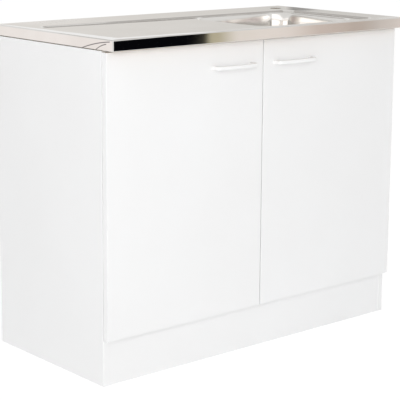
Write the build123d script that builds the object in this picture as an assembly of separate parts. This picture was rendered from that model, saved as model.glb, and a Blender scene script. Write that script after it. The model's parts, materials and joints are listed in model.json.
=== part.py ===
from build123d import *
import os
from math import hypot

# Kitchen sink unit: a two-door base cabinet of white boards under a folded steel sink top with
# one bowl on the right and a smooth drainer on the left.
# All sizes are in millimetres. X runs from left to right, Y from front to back and Z upward.
# The origin lies on the floor, under the middle of the sink top.

# ---------------------------------------------------------------- whole unit
unit_width = 1000.0
unit_depth = 500.0
unit_height = 850.0
board = 16.0                    # thickness of every coated board
hole_gap = 0.1                  # radial clearance of a dowel, pin or fitting in its drilled hole
seat_gap = 0.2                  # small gap between pieces that rest on each other
clear = 1.0                     # how far a cutting tool runs past the face it cuts
near = 0.01                     # levels closer than this count as one, when edges are picked

# ---------------------------------------------------------------- steel sink top
steel = 0.8                     # sheet thickness
fold_height = 30.0              # height of the folded edge
fold_radius = 2.0               # outer bend radius of the folded edge
fold_lip = 12.0                 # edge turned inward below the fold
tray_left_border = 35.0         # flat border left of the pressed tray
tray_right_border = 80.0
tray_front_border = 28.0
tray_rear_border = 128.0        # tap ledge behind the tray
tray_depth = 4.0                # tray floor below the border, beside the bowl
tray_fall = 1.5                 # rise of the drainer floor from the bowl to its left end
tray_slope = 5.0                # width of the slanted tray edge
tray_corner = 34.0              # corner radius at the top of the tray
tap_hole_radius = 17.5
tap_hole_from_right = 73.0
tap_hole_from_rear = 66.0

# ---------------------------------------------------------------- bowl
bowl_length = 340.0             # along X
bowl_depth = 150.0
bowl_right_gap = 45.0           # from the bowl to the right edge of the tray
bowl_rear_gap = 12.0            # from the bowl to the rear edge of the tray
bowl_front_gap = 35.0           # from the bowl to the front edge of the tray
bowl_corner = 58.0              # corner radius of the bowl's mouth
bowl_taper = 10.0               # how far each wall leans in over its height
bowl_floor_radius = 32.0        # rounding between walls and floor
bowl_lip_radius = 5.0           # rounding from the tray floor into the walls
bowl_flange = 9.0               # flat rim welded into the deck
waste_seat_depth = 2.5          # pressed seat for the strainer's rim
waste_seat_flare = 2.0          # slant of the seat's edge

# ---------------------------------------------------------------- basket strainer
strainer_rim_radius = 56.0
strainer_cup_radius = 42.0
strainer_cup_depth = 36.0
strainer_cup_taper = 3.0        # narrowing of the cup toward its floor
strainer_sheet = 1.2
drain_hole_radius = 4.5
drain_hole_circle = 26.0
drain_hole_count = 8
strainer_screw_radius = 3.0
strainer_screw_head_radius = 5.5
strainer_screw_head_height = 2.0
strainer_screw_length = 16.0
basket_gap = 0.6                # basket to cup, all round
basket_sheet = 1.0
basket_depth = 24.0
basket_slot_count = 14
basket_slot_width = 3.0
basket_slot_margin = 5.0        # wall left above and below each slot
basket_hole_radius = 2.5
basket_hole_circle = 23.0
basket_hole_count = 10
basket_lip = 1.5                # rim of the basket, turned inward
basket_rest = 0.3               # plug above the screw head that it rests on
plug_radius = 32.0              # rubber plug under the basket, wide enough to cover the drain holes
plug_neck_radius = 14.0
plug_height = 6.0
knob_radius = 9.0
knob_height = 8.0
knob_stem_radius = 3.0
knob_rise = 32.0                # knob top above the basket's floor

# ---------------------------------------------------------------- waste body and bottle trap
plastic = 3.0                   # wall of the moulded waste fittings
gasket_height = 3.0
gasket_inset = 2.0              # gasket edge inside the strainer's rim
waste_body_gap = 1.5            # waste body to strainer cup
waste_body_height = 36.0        # straight part of the waste body
waste_cone_height = 10.0        # cone from the waste body to its spigot
boss_radius = 7.0
spigot_radius = 24.0            # threaded spigots of the waste body and the trap
spigot_length = 20.0
thread_gap = 0.25               # radial clearance of a nut on its spigot
pipe_radius = 20.0              # outside of the waste pipe
pipe_wall = 1.8
pipe_gap = 0.3                  # pipe to the nuts and spigots round it
pipe_collar = 3.0               # height of the collar that the upper nut clamps
outlet_grip = 50.0              # plain end of the outlet pipe, for the socket in the wall
pipe_end_chamfer = 1.0
pipe_mark_width = 1.5           # groove that shows how far the pipe goes into the socket
pipe_mark_depth = 0.3
nut_wall = 4.0
nut_height = 22.0
nut_ribs = 10
nut_rib_radius = 2.0
washer_height = 3.0
tail_length = 66.0              # from the waste body's spigot to the neck of the trap
dip_length = 108.0              # from the neck of the trap to the pipe's lower end
trap_radius = 37.0
trap_neck_height = 18.0
trap_shoulder = 10.0            # cone between neck and bottle
trap_height = 76.0              # upper part of the bottle, below its neck
trap_cup_height = 60.0
trap_cup_overlap = 14.0         # threaded part of the cup round the bottle
trap_cup_rounding = 14.0
trap_outlet_drop = 36.0         # outlet axis below the neck

# ---------------------------------------------------------------- cabinet
door_setback = 28.0             # door fronts behind the front edge of the sink top
door_gap = 2.0                  # inner door faces to the front edges of the carcass
door_top_gap = 3.0
door_bottom_lift = 2.0          # door bottoms above the plinth board
door_reveal = 1.0               # door edge inside the outer face of its side panel
door_centre_gap = 3.0
edge_radius = 1.0               # rounding of the visible board edges
plinth_height = 115.0
plinth_setback = 1.0            # plinth board behind the front edges of the side panels
front_rail_height = 46.0
rear_rail_height = 80.0
front_batten_width = 22.0
rear_batten_width = 38.0
batten_gap = 0.3                # wooden battens to the steel round them
batten_chamfer = 2.0

# ---------------------------------------------------------------- knock-down fittings
dowel_radius = 4.0
dowel_length = 30.0
dowel_in_side = 11.5            # part of a dowel that sits in the side panel
dowel_end_gap = 0.5             # hole left beyond each end of a dowel
cam_radius = 7.5
cam_height = 12.0
cam_reach = 24.0                # cam axis from the inner face of the side panel
cam_slot = 1.5                  # width of the driver slots
cam_mouth = 7.0                 # width of the cam's open side
bolt_thread_radius = 2.5
bolt_thread_length = 10.0
bolt_bore_radius = 3.5          # hole for the bolt in the board's end
bolt_shank_radius = 3.0
bolt_neck_radius = 1.8
bolt_head_radius = 3.0
bolt_head_length = 3.0
fitting_inset = 42.0            # first fitting from the front and rear ends of a level board
fitting_spacing = 32.0          # from a cam bolt to the dowel beside it
plate_thickness = 1.5           # flat steel plates between cabinet and sink top
plate_width = 18.0
plate_length = 44.0
plate_inset = 110.0             # plates from the front and rear edges of the side panels
plate_hole_inset = 8.0
small_screw_radius = 1.75
small_screw_length = 11.0
small_screw_head_radius = 3.5
small_screw_head_height = 1.8
head_rounding = 0.6             # rounding of a screw head, as a share of its height

# ---------------------------------------------------------------- handles and bumpers
handle_hole_spacing = 128.0
handle_length = 140.0
handle_foot = 13.0              # length of each foot on the door
handle_projection = 27.0
handle_bar = 7.0                # thickness of the grip bar
handle_bow = 5.0                # how far the middle of the bar bows out beyond its shoulders
handle_width = 10.0
handle_shoulder_radius = 10.0   # rounding between the bar and its feet
handle_lean = 4.0               # how far each foot leans in over its height
handle_edge_radius = 2.5
handle_from_centre = 105.0      # middle of each handle from the middle of the unit
handle_below_door_top = 60.0
handle_screw_radius = 2.0
handle_screw_head_radius = 4.0
handle_screw_head_height = 2.2
handle_screw_in_foot = 10.0
bumper_radius = 4.0
bumper_inset = 12.0             # from the free edge and from the end of the door
bumper_gap = 0.3

# ---------------------------------------------------------------- concealed hinges
# Plan of the left hinges: x from the outer face of the side panel toward the middle,
# y from the panel's front edge toward the back.
hinge_from_door_end = 100.0
arm_rear_pivot = (40.0, 24.0)
arm_front_pivot = (33.2, -2.7)
cup_outer_pivot = (10.5, -3.5)
cup_inner_pivot = (13.6, -7.4)
outer_link_bend = (36.0, -7.0)
inner_link_bend = (19.4, -9.8)
link_half_width = 2.0
link_sheet = 1.2
hinge_pin_radius = 1.0
pin_fit = 0.05                  # running clearance of a link on its pin
slot_middle = (13.75, -7.55)    # slot in the inner link, which the cup's inner pin slides in
slot_travel = 2.2               # length of the slot between the middles of its round ends
slot_angle = 70.5
slot_spare = 0.5                # clearance of the pin in its slot
slot_wall = 1.0
inner_link_height = 7.0
outer_link_height = 10.8        # across both cheeks
arm_height = 14.4               # across both cheeks
arm_sheet = 1.2
arm_nose_radius = 2.8
arm_rear_radius = 3.6
arm_end = 66.0                  # rear end of the arm
arm_rise = 27.4                 # back of the arm from the panel's outer face
plate_base = 2.5                # hinge plate on the side panel
plate_rail = 10.0               # rail of the hinge plate, from the side panel
plate_rail_start = 30.0
plate_rail_end = 63.0
rail_gap = 0.4                  # rail to each cheek of the arm
plate_screw_line = 37.0         # screw holes from the panel's front edge
arm_screw_line = 56.0           # clamping screw from the panel's front edge
plate_screw_spacing = 32.0
plate_wing_radius = 7.0
euro_screw_radius = 2.5
euro_screw_length = 10.0
euro_screw_head_radius = 4.2
arm_screw_radius = 2.0
arm_screw_head_radius = 3.6
arm_screw_head_height = 1.6
arm_screw_length = 7.0
cup_radius = 17.5
cup_depth = 11.5
cup_from_door_edge = 22.5
cup_gap = 0.1                   # cup in its bore
cup_wall = 0.6
cup_notch = 2.0                 # depth of the two notches in the cup's edge, for the outer link
cup_pocket_height = 15.6
cup_flange = 1.0
cup_wing_radius = 6.5
cup_screw_offset = 6.0          # screw line beyond the cup's axis
cup_screw_spacing = 48.0
cup_screw_length = 12.0
cup_pin_length = 20.0           # across the ends of the cup pins, which sit in the cup's walls

# ---------------------------------------------------------------- levels and lines that follow
half_w = unit_width / 2
half_d = unit_depth / 2
carcass_top = unit_height - fold_height
door_front = door_setback - half_d
door_back = door_front + board
carcass_front = door_back + door_gap
inner_x = half_w - board                        # inner faces of the side panels
door_bottom = plinth_height + door_bottom_lift
door_top = carcass_top - door_top_gap
bottom_top = plinth_height + board

tray_x0 = tray_left_border - half_w
tray_x1 = half_w - tray_right_border
tray_y0 = tray_front_border - half_d
tray_y1 = half_d - tray_rear_border
tray_floor = unit_height - tray_depth

bowl_x1 = tray_x1 - bowl_right_gap
bowl_x0 = bowl_x1 - bowl_length
bowl_y1 = tray_y1 - bowl_rear_gap
bowl_y0 = tray_y0 + bowl_front_gap
bowl_floor = tray_floor - bowl_depth
waste_x = (bowl_x0 + bowl_x1) / 2
waste_y = (bowl_y0 + bowl_y1) / 2
waste_seat = bowl_floor - waste_seat_depth      # level of the strainer's seat

cup_floor = waste_seat - strainer_cup_depth     # underside of the strainer cup
gasket_top = waste_seat - steel
body_top = gasket_top - gasket_height
body_cone = body_top - waste_body_height
spigot_top = body_cone - waste_cone_height
spigot_end = spigot_top - spigot_length
collar_top = spigot_end - washer_height
neck_top = spigot_end - tail_length
neck_end = neck_top - trap_neck_height
bottle_end = neck_end - trap_height
outlet_z = neck_end - trap_outlet_drop
outlet_spigot_end = waste_y + trap_radius + spigot_length

basket_floor = cup_floor + strainer_sheet + strainer_screw_head_height + basket_rest + plug_height
outlet_nut_line = outlet_spigot_end + washer_height + seat_gap + plastic

hinge_levels = {"bottom": door_bottom + hinge_from_door_end, "top": door_top - hinge_from_door_end}
handle_z = door_top - handle_below_door_top
cup_x = door_reveal + cup_from_door_edge        # cup axis in the hinge plan

CORNER = (Align.MIN, Align.MIN, Align.MIN)
FROM_BASE = (Align.CENTER, Align.CENTER, Align.MIN)
LEFT = (-1, 0, 0)
RIGHT = (1, 0, 0)
FRONT = (0, -1, 0)
REAR = (0, 1, 0)
UP = (0, 0, 1)
DOWN = (0, 0, -1)


# ---------------------------------------------------------------- shared forms
def block(x0, x1, y0, y1, z0, z1):
    """A straight board between two corners."""
    return Pos(x0, y0, z0) * Box(x1 - x0, y1 - y0, z1 - z0, align=CORNER)


def rod(start, direction, radius, length):
    """A round bar, or a drill, from a point along a direction."""
    return Plane(origin=start, z_dir=direction) * Cylinder(radius, length, align=FROM_BASE)


def outline(x0, x1, y0, y1, corner, z):
    """A level rectangle with rounded corners."""
    place = Pos((x0 + x1) / 2, (y0 + y1) / 2, z)
    return place * RectangleRounded(x1 - x0, y1 - y0, corner)


def turned(points, x, y, z):
    """A piece turned on an upright axis, from radius and height pairs."""
    profile = Plane.XZ * make_face(Polyline(*points, close=True))
    return Pos(x, y, z) * revolve(profile, Axis.Z)


def ring(start, direction, inner, outer, height):
    """A plain ring or washer."""
    tool = rod(start, direction, inner, height)
    return rod(start, direction, outer, height) - tool


def hull(*discs):
    """The outline drawn tight round discs, each given as x, y and radius."""
    edges = [(Pos(x, y) * Circle(radius)).edge() for x, y, radius in discs]
    return make_hull(edges)


def bar_outline(points, radius):
    """A flat bar with round ends that follows a line of points."""
    legs = [hull((*a, radius), (*b, radius)) for a, b in zip(points, points[1:])]
    return Sketch() + legs


def screw(start, direction, radius, length, head_radius, head_height):
    """A screw whose shank starts at a surface, with a low round head above it."""
    shank = rod(start, direction, radius, length)
    back = tuple(-part for part in direction)
    head = rod(start, back, head_radius, head_height)
    edge = head.edges().filter_by(GeomType.CIRCLE).sort_by(Axis(start, back))[-1]
    return shank + fillet(edge, head_height * head_rounding)


def round_upright_edges(shape, y):
    """Round the long front edges of a board, where hands and eyes meet them."""
    edges = shape.edges().filter_by(Axis.Z).filter_by_position(Axis.Y, y - near, y + near)
    return fillet(edges, edge_radius)


def save(node, *solids):
    """Write one piece, or one group of equal pieces, under its name."""
    shape = solids[0] if len(solids) == 1 else Compound(children=list(solids))
    export_step(shape, f"parts/{node}.step")


# ---------------------------------------------------------------- steel deck
def tray_outline(z, grow):
    """The tray at one level; grow moves its slanted edge outward for the sheet's underside."""
    shift = grow * hypot(tray_slope, tray_depth) / tray_depth
    inset = tray_slope * (unit_height - z) / tray_depth - shift
    return outline(tray_x0 + inset, tray_x1 - inset, tray_y0 + inset, tray_y1 - inset,
                   tray_corner - inset, z)


def drain_space(grow):
    """Everything above the tray floor, which falls gently from the left end to the bowl."""
    low = tray_floor - grow
    fall_end = bowl_x0 - bowl_flange
    left_low = low + tray_fall * (fall_end + half_w) / (fall_end - tray_x0)
    high = unit_height + 2 * clear           # above the tray form, which ends one clear higher
    side = Polyline((-half_w, high), (half_w, high), (half_w, low), (fall_end, low),
                    (-half_w, left_low), close=True)
    return extrude(Plane.XZ * make_face(side), unit_depth / 2, both=True)


def tray_form(grow):
    """The pressed tray as a solid."""
    faces = [tray_outline(tray_floor - grow, grow), tray_outline(unit_height + clear, grow)]
    return loft(faces, ruled=True) & drain_space(grow)


def bowl_rim(spread):
    """The outline of the bowl's mouth, spread outward."""
    return outline(bowl_x0 - spread, bowl_x1 + spread, bowl_y0 - spread, bowl_y1 + spread,
                   bowl_corner + spread, tray_floor + clear)


def folded_box():
    """The deck before its tray is pressed: a shallow tray of sheet, open below."""
    outer = block(-half_w, half_w, -half_d, half_d, carcass_top, unit_height)
    bends = outer.edges().filter_by(Axis.Z) + outer.edges().group_by(Axis.Z)[-1]
    outer = fillet(bends, fold_radius)
    inner = block(steel - half_w, half_w - steel, steel - half_d, half_d - steel,
                  carcass_top + steel, unit_height - steel)
    bends = inner.edges().filter_by(Axis.Z) + inner.edges().group_by(Axis.Z)[-1]
    return outer, fillet(bends, fold_radius - steel)


def sink_deck():
    """Folded sheet with a turned-in lip, a pressed tray, the bowl's opening and a tap hole."""
    outer, inner = folded_box()
    sheet = (outer - tray_form(0)) - (inner - tray_form(steel))
    sheet -= block(fold_lip - half_w, half_w - fold_lip, fold_lip - half_d, half_d - fold_lip,
                   carcass_top - clear, carcass_top + steel + clear)
    sheet -= extrude(bowl_rim(bowl_flange), -(tray_depth + steel + 2 * clear))
    tap = (half_w - tap_hole_from_right, half_d - tap_hole_from_rear, unit_height + clear)
    return sheet - rod(tap, DOWN, tap_hole_radius, steel + 2 * clear)


# ---------------------------------------------------------------- bowl
def bowl_outline(z, grow):
    """The bowl at one level, leaning in toward its floor."""
    inset = bowl_taper * (tray_floor - z) / bowl_depth - grow
    return outline(bowl_x0 + inset, bowl_x1 - inset, bowl_y0 + inset, bowl_y1 - inset,
                   bowl_corner - inset, z)


def bowl_form(grow):
    """The drawn bowl as a solid, with its pressed seat for the strainer."""
    low = bowl_floor - grow
    body = loft([bowl_outline(low, grow), bowl_outline(tray_floor, grow)], ruled=True)
    floor_round = min(bowl_floor_radius, bowl_corner - bowl_taper - clear)
    body = fillet(body.edges().group_by(Axis.Z)[0], floor_round + grow)
    seat_radius = strainer_rim_radius + seat_gap + grow
    seat = [(0, 0), (seat_radius, 0), (seat_radius + waste_seat_flare, waste_seat_depth),
            (0, waste_seat_depth)]
    return body + turned(seat, waste_x, waste_y, waste_seat - grow)


def mouth_edges(shape, level):
    """The edges where the bowl meets its flat rim, on the rim's face at one level."""
    rims = shape.faces().filter_by(Axis.Z).filter_by_position(Axis.Z, level - near, level + near)
    return rims[0].inner_wires()[0].edges()


def sink_bowl():
    """Drawn bowl of even sheet: flat rim, rounded lip, leaning walls and a dished seat."""
    rim = Pos(0, 0, -clear) * bowl_rim(bowl_flange)
    outside = extrude(rim, -steel) + bowl_form(steel)
    outside = fillet(mouth_edges(outside, tray_floor - steel), bowl_lip_radius - steel)
    bowl = outside - bowl_form(0)
    bowl = fillet(mouth_edges(bowl, tray_floor), bowl_lip_radius)
    hole = rod((waste_x, waste_y, waste_seat - steel - clear), UP, strainer_cup_radius + seat_gap,
               steel + 2 * clear)
    return bowl - hole


# ---------------------------------------------------------------- basket strainer
def strainer_dish():
    """Pressed steel cup whose rim lies in the bowl's seat, with drain holes and a screw hole."""
    foot = strainer_cup_radius - strainer_cup_taper
    lip = strainer_sheet / 2
    inner = strainer_cup_radius - strainer_sheet
    profile = [(0, -strainer_cup_depth), (foot, -strainer_cup_depth), (strainer_cup_radius, 0),
               (strainer_rim_radius, 0), (strainer_rim_radius, lip),
               (strainer_rim_radius - lip, strainer_sheet),
               (inner + lip, strainer_sheet), (inner, strainer_sheet - lip),
               (foot - strainer_sheet, strainer_sheet - strainer_cup_depth),
               (0, strainer_sheet - strainer_cup_depth)]
    dish = turned(profile, waste_x, waste_y, waste_seat)
    below = Pos(waste_x, waste_y, cup_floor - clear)
    through = strainer_sheet + 2 * clear
    drain = Cylinder(drain_hole_radius, through, align=FROM_BASE)
    drains = [below * place * drain for place in PolarLocations(drain_hole_circle, drain_hole_count)]
    screw_hole = below * Cylinder(strainer_screw_radius + hole_gap, through, align=FROM_BASE)
    return dish - drains - screw_hole


def strainer_screw():
    """The screw that clamps the cup, the gasket and the waste body to the bowl."""
    start = (waste_x, waste_y, cup_floor + strainer_sheet)
    return screw(start, DOWN, strainer_screw_radius, strainer_screw_length,
                 strainer_screw_head_radius, strainer_screw_head_height)


def strainer_basket():
    """Lift-out basket: a tapered cup with slots in its wall and holes in its floor."""
    lean = strainer_cup_taper / strainer_cup_depth
    foot = strainer_cup_radius - strainer_cup_taper - strainer_sheet - basket_gap
    foot += lean * (basket_floor - cup_floor)
    top = foot + lean * basket_depth
    mouth = top - basket_sheet - basket_lip
    under_lip = basket_depth - basket_sheet
    profile = [(0, 0), (foot, 0), (top, basket_depth), (mouth, basket_depth), (mouth, under_lip),
               (top - basket_sheet, under_lip), (foot - basket_sheet, basket_sheet), (0, basket_sheet)]
    centre = Pos(waste_x, waste_y, basket_floor)
    half = basket_slot_width / 2
    slot_top = basket_depth - basket_slot_margin
    slot = block(foot / 2, top + clear, -half, half, basket_slot_margin, slot_top)
    slots = [centre * place * slot for place in PolarLocations(0, basket_slot_count)]
    through = basket_sheet + 2 * clear
    hole = Pos(0, 0, -clear) * Cylinder(basket_hole_radius, through, align=FROM_BASE)
    holes = [centre * place * hole for place in PolarLocations(basket_hole_circle, basket_hole_count)]
    stem = Pos(0, 0, -clear) * Cylinder(knob_stem_radius + hole_gap, through, align=FROM_BASE)
    return turned(profile, waste_x, waste_y, basket_floor) - slots - holes - centre * stem


def basket_knob():
    """Turned knob on a stem, to lift the basket by."""
    neck = knob_rise - knob_height
    stem_end = -plug_height / 2
    edge = knob_height / 4
    profile = [(0, stem_end), (knob_stem_radius, stem_end), (knob_stem_radius, neck),
               (knob_radius - edge, neck), (knob_radius, neck + 1.5 * edge),
               (knob_radius, knob_rise - edge), (knob_radius - edge, knob_rise), (0, knob_rise)]
    return turned(profile, waste_x, waste_y, basket_floor)


def basket_plug():
    """Rubber plug below the basket: a wide disc under a neck, round the end of the stem."""
    middle = -plug_height / 2
    profile = [(0, -plug_height), (plug_radius, -plug_height), (plug_radius, middle),
               (plug_neck_radius, middle), (plug_neck_radius, 0), (0, 0)]
    socket = rod((waste_x, waste_y, basket_floor + middle - hole_gap), UP, knob_stem_radius + hole_gap,
                 plug_height)
    return turned(profile, waste_x, waste_y, basket_floor) - socket


# ---------------------------------------------------------------- waste body and bottle trap
def strainer_gasket():
    """Rubber ring between the bowl's seat and the waste body."""
    return ring((waste_x, waste_y, body_top), UP, strainer_cup_radius + seat_gap,
                strainer_rim_radius - gasket_inset, gasket_height)


def waste_body():
    """Moulded cup under the bowl, with a cone, a threaded spigot and a screw post on a cross."""
    inner = strainer_cup_radius + waste_body_gap
    outer = inner + plastic
    bore = spigot_radius - plastic
    rim = strainer_rim_radius - gasket_inset
    rise = plastic / 2
    profile = [(rim, body_top), (rim, body_top - plastic), (outer, body_top - plastic), (outer, body_cone),
               (spigot_radius, spigot_top), (spigot_radius, spigot_end), (bore, spigot_end),
               (bore, spigot_top + rise), (inner, body_cone + rise), (inner, body_top)]
    body = turned(profile, waste_x, waste_y, 0)
    low = cup_floor + strainer_sheet - strainer_screw_length - plastic
    reach = bore + plastic / 2
    half = plastic / 2
    body += rod((waste_x, waste_y, low), UP, boss_radius, cup_floor - seat_gap - low)
    body += block(waste_x - reach, waste_x + reach, waste_y - half, waste_y + half, low, spigot_top)
    body += block(waste_x - half, waste_x + half, waste_y - reach, waste_y + reach, low, spigot_top)
    hole = rod((waste_x, waste_y, low + plastic - hole_gap), UP, strainer_screw_radius + hole_gap,
               2 * strainer_screw_length)
    return body - hole


def union_nut(start, direction):
    """Moulded nut: a ring with grip ribs and a floor that the pipe passes through."""
    inner = spigot_radius + thread_gap
    outer = inner + nut_wall
    body = Cylinder(outer, nut_height, align=FROM_BASE)
    body = chamfer(body.edges().filter_by(GeomType.CIRCLE), plastic / 3)
    rib = Pos(0, 0, plastic) * Cylinder(nut_rib_radius, nut_height - 2 * plastic, align=FROM_BASE)
    body += [place * rib for place in PolarLocations(outer - nut_rib_radius / 3, nut_ribs)]
    body -= Pos(0, 0, plastic) * Cylinder(inner, nut_height, align=FROM_BASE)
    body -= Pos(0, 0, -clear) * Cylinder(pipe_radius + pipe_gap, nut_height, align=FROM_BASE)
    return Plane(origin=start, z_dir=direction) * body


def trap_nuts():
    """The three equal nuts: under the bowl, on the trap's neck and on its outlet."""
    upper = (waste_x, waste_y, collar_top - pipe_collar - seat_gap - plastic)
    neck = (waste_x, waste_y, neck_top + washer_height + seat_gap + plastic)
    outlet = (waste_x, outlet_nut_line, outlet_z)
    return [union_nut(upper, UP), union_nut(neck, DOWN), union_nut(outlet, FRONT)]


def trap_washers():
    """Rubber washers that the nuts press against the spigots."""
    lift = seat_gap / 2
    height = washer_height - seat_gap
    outer = spigot_radius - seat_gap
    on_pipe = pipe_radius + hole_gap
    on_collar = pipe_radius - pipe_wall + hole_gap
    return [ring((waste_x, waste_y, collar_top + lift), UP, on_collar, outer, height),
            ring((waste_x, waste_y, neck_top + lift), UP, on_pipe, outer, height),
            ring((waste_x, outlet_spigot_end + lift, outlet_z), REAR, on_pipe, outer, height)]


def tail_pipe():
    """Pipe from the waste body down into the trap, with a collar that the upper nut holds."""
    low = neck_top - dip_length
    pipe = rod((waste_x, waste_y, low), UP, pipe_radius, collar_top - low)
    pipe += rod((waste_x, waste_y, collar_top - pipe_collar), UP, spigot_radius - seat_gap, pipe_collar)
    bore = rod((waste_x, waste_y, low - clear), UP, pipe_radius - pipe_wall, collar_top - low + 2 * clear)
    return pipe - bore


def trap_body():
    """Upper part of the bottle: threaded neck, shoulder, wall and a side spigot for the outlet."""
    bore = pipe_radius + pipe_gap
    inner = trap_radius - plastic
    shoulder = neck_end - trap_shoulder
    outside = [(0, neck_top), (spigot_radius, neck_top), (spigot_radius, neck_end), (trap_radius, shoulder),
               (trap_radius, bottle_end), (0, bottle_end)]
    inside = [(0, neck_top + clear), (bore, neck_top + clear), (bore, neck_end), (inner, shoulder),
              (inner, bottle_end - clear), (0, bottle_end - clear)]
    axis = (waste_x, waste_y, outlet_z)
    spigot = outlet_spigot_end - waste_y
    body = turned(outside, waste_x, waste_y, 0) + rod(axis, REAR, spigot_radius, spigot)
    return body - turned(inside, waste_x, waste_y, 0) - rod(axis, REAR, bore, spigot + clear)


def trap_cup():
    """Screw-off cup of the bottle, with a rounded floor and grip ribs."""
    inner = trap_radius + thread_gap
    outer = inner + plastic
    top = bottle_end + trap_cup_overlap
    low = top - trap_cup_height
    cup = rod((waste_x, waste_y, low), UP, outer, trap_cup_height)
    cup = fillet(cup.edges().filter_by(GeomType.CIRCLE).group_by(Axis.Z)[0], trap_cup_rounding)
    hollow = rod((waste_x, waste_y, low + plastic), UP, trap_radius - plastic, trap_cup_height)
    floor_edge = hollow.edges().filter_by(GeomType.CIRCLE).group_by(Axis.Z)[0]
    hollow = fillet(floor_edge, trap_cup_rounding - plastic)
    socket = rod((waste_x, waste_y, bottle_end - seat_gap), UP, inner, trap_cup_height)
    grip = trap_cup_height - trap_cup_rounding - 2 * plastic
    rib = Cylinder(nut_rib_radius, grip, align=FROM_BASE)
    centre = Pos(waste_x, waste_y, top - grip - plastic)
    ribs = [centre * place * rib for place in PolarLocations(outer - nut_rib_radius / 3, nut_ribs)]
    return cup + ribs - hollow - socket


def outlet_pipe():
    """Waste pipe from the trap to the wall: a chamfered plain end behind a mark groove."""
    start = waste_y + trap_radius
    length = half_d - start
    pipe = rod((waste_x, start, outlet_z), REAR, pipe_radius, length)
    pipe = chamfer(pipe.edges().filter_by(GeomType.CIRCLE).sort_by(Axis.Y)[-1], pipe_end_chamfer)
    mark = (waste_x, half_d - pipe_end_chamfer - outlet_grip - pipe_mark_width, outlet_z)
    pipe -= ring(mark, REAR, pipe_radius - pipe_mark_depth, pipe_radius + clear, pipe_mark_width)
    return pipe - rod((waste_x, start - clear, outlet_z), REAR, pipe_radius - pipe_wall, length + 2 * clear)


# ---------------------------------------------------------------- fittings of the carcass
# Every board between the side panels lists the fittings of each end: the kind, y and z of its
# line, and the direction of the face that its cams are sunk in.
bottom_line = plinth_height + board / 2
front_line = carcass_front + fitting_inset
rear_line = half_d - board - fitting_inset
rail_line = half_d - board / 2
rail_step = fitting_spacing / 2
top_rail_z = carcass_top - rear_rail_height / 2
low_rail_z = bottom_top + rear_rail_height / 2
front_rail_y = carcass_front + board / 2
front_rail_z = carcass_top - front_rail_height / 2
plinth_front = carcass_front + plinth_setback

fittings = {
    "bottom_panel": [("cam", front_line, bottom_line, DOWN),
                     ("dowel", front_line + fitting_spacing, bottom_line, DOWN),
                     ("dowel", rear_line - fitting_spacing, bottom_line, DOWN),
                     ("cam", rear_line, bottom_line, DOWN)],
    "front_rail": [("cam", front_rail_y, front_rail_z - rail_step / 2, REAR),
                   ("dowel", front_rail_y, front_rail_z + rail_step / 2, REAR)],
    "rear_rail_top": [("cam", rail_line, top_rail_z - rail_step, FRONT),
                      ("dowel", rail_line, top_rail_z + rail_step, FRONT)],
    "rear_rail_bottom": [("dowel", rail_line, low_rail_z - rail_step, FRONT),
                         ("dowel", rail_line, low_rail_z + rail_step, FRONT)],
    "plinth_board": [("dowel", plinth_front + board / 2, plinth_height / 2 - rail_step, REAR),
                     ("dowel", plinth_front + board / 2, plinth_height / 2 + rail_step, REAR)]}


def dowel(side, y, z, grow):
    """A dowel across the joint; with grow, the hole drilled for it."""
    over = dowel_end_gap if grow else 0
    start = (side * (inner_x + dowel_in_side + over), y, z)
    return rod(start, (-side, 0, 0), dowel_radius + grow, dowel_length + 2 * over)


def cam_place(side, y, z, face):
    """Where a cam stands: on the sunk face, pointing into the board, with x toward the side panel."""
    origin = (side * (inner_x - cam_reach), y + face[1] * board / 2, z + face[2] * board / 2)
    return Plane(origin=origin, x_dir=(side, 0, 0), z_dir=tuple(-part for part in face))


def cam_lock(side, y, z, face):
    """Cam disc with a mouth for the bolt's neck, a hollow for its head and a driver cross."""
    body = Cylinder(cam_radius, cam_height, align=FROM_BASE)
    hollow = 2 * bolt_head_radius + clear
    neck = 2 * bolt_neck_radius + clear
    body -= Pos(0, 0, board / 2) * Box(hollow, hollow, cam_mouth)
    body -= Pos(cam_radius / 2 + clear, 0, board / 2) * Box(cam_radius + clear, neck, cam_mouth)
    body -= Box(cam_radius, cam_slot, 2 * cam_slot) + Box(cam_slot, cam_radius, 2 * cam_slot)
    return cam_place(side, y, z, face) * body


def cam_bolt(side, y, z):
    """Bolt from the side panel into the cam: thread, shank, neck and head."""
    head_end = cam_reach + bolt_head_radius
    neck_start = cam_reach - cam_radius - clear
    neck_end = head_end - bolt_head_length
    profile = [(0, -bolt_thread_length), (bolt_thread_radius, -bolt_thread_length),
               (bolt_thread_radius, 0), (bolt_shank_radius, 0), (bolt_shank_radius, neck_start),
               (bolt_neck_radius, neck_start), (bolt_neck_radius, neck_end),
               (bolt_head_radius, neck_end), (bolt_head_radius, head_end), (0, head_end)]
    return Plane(origin=(side * inner_x, y, z), z_dir=(-side, 0, 0)) * turned(profile, 0, 0, 0)


def end_holes(side, board_fittings):
    """The holes for dowels, cams and bolts in one end of a board."""
    tools = []
    for kind, y, z, face in board_fittings:
        if kind == "dowel":
            tools.append(dowel(side, y, z, hole_gap))
        else:
            pocket = Cylinder(cam_radius + hole_gap, cam_height + clear, align=FROM_BASE)
            tools.append(cam_place(side, y, z, face) * Pos(0, 0, -clear) * pocket)
            mouth = (side * (inner_x + clear), y, z)
            tools.append(rod(mouth, (-side, 0, 0), bolt_bore_radius, cam_reach + clear))
    return tools


def between_sides(name, y0, y1, z0, z1):
    """A board between the side panels, drilled at both ends."""
    body = block(-inner_x, inner_x, y0, y1, z0, z1)
    return body - end_holes(-1, fittings[name]) - end_holes(1, fittings[name])


def fitting_group(kind, make):
    """All fittings of one kind, on both sides."""
    return [make(side, *place) for side in (-1, 1) for places in fittings.values()
            for found, *place in places if found == kind]


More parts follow.
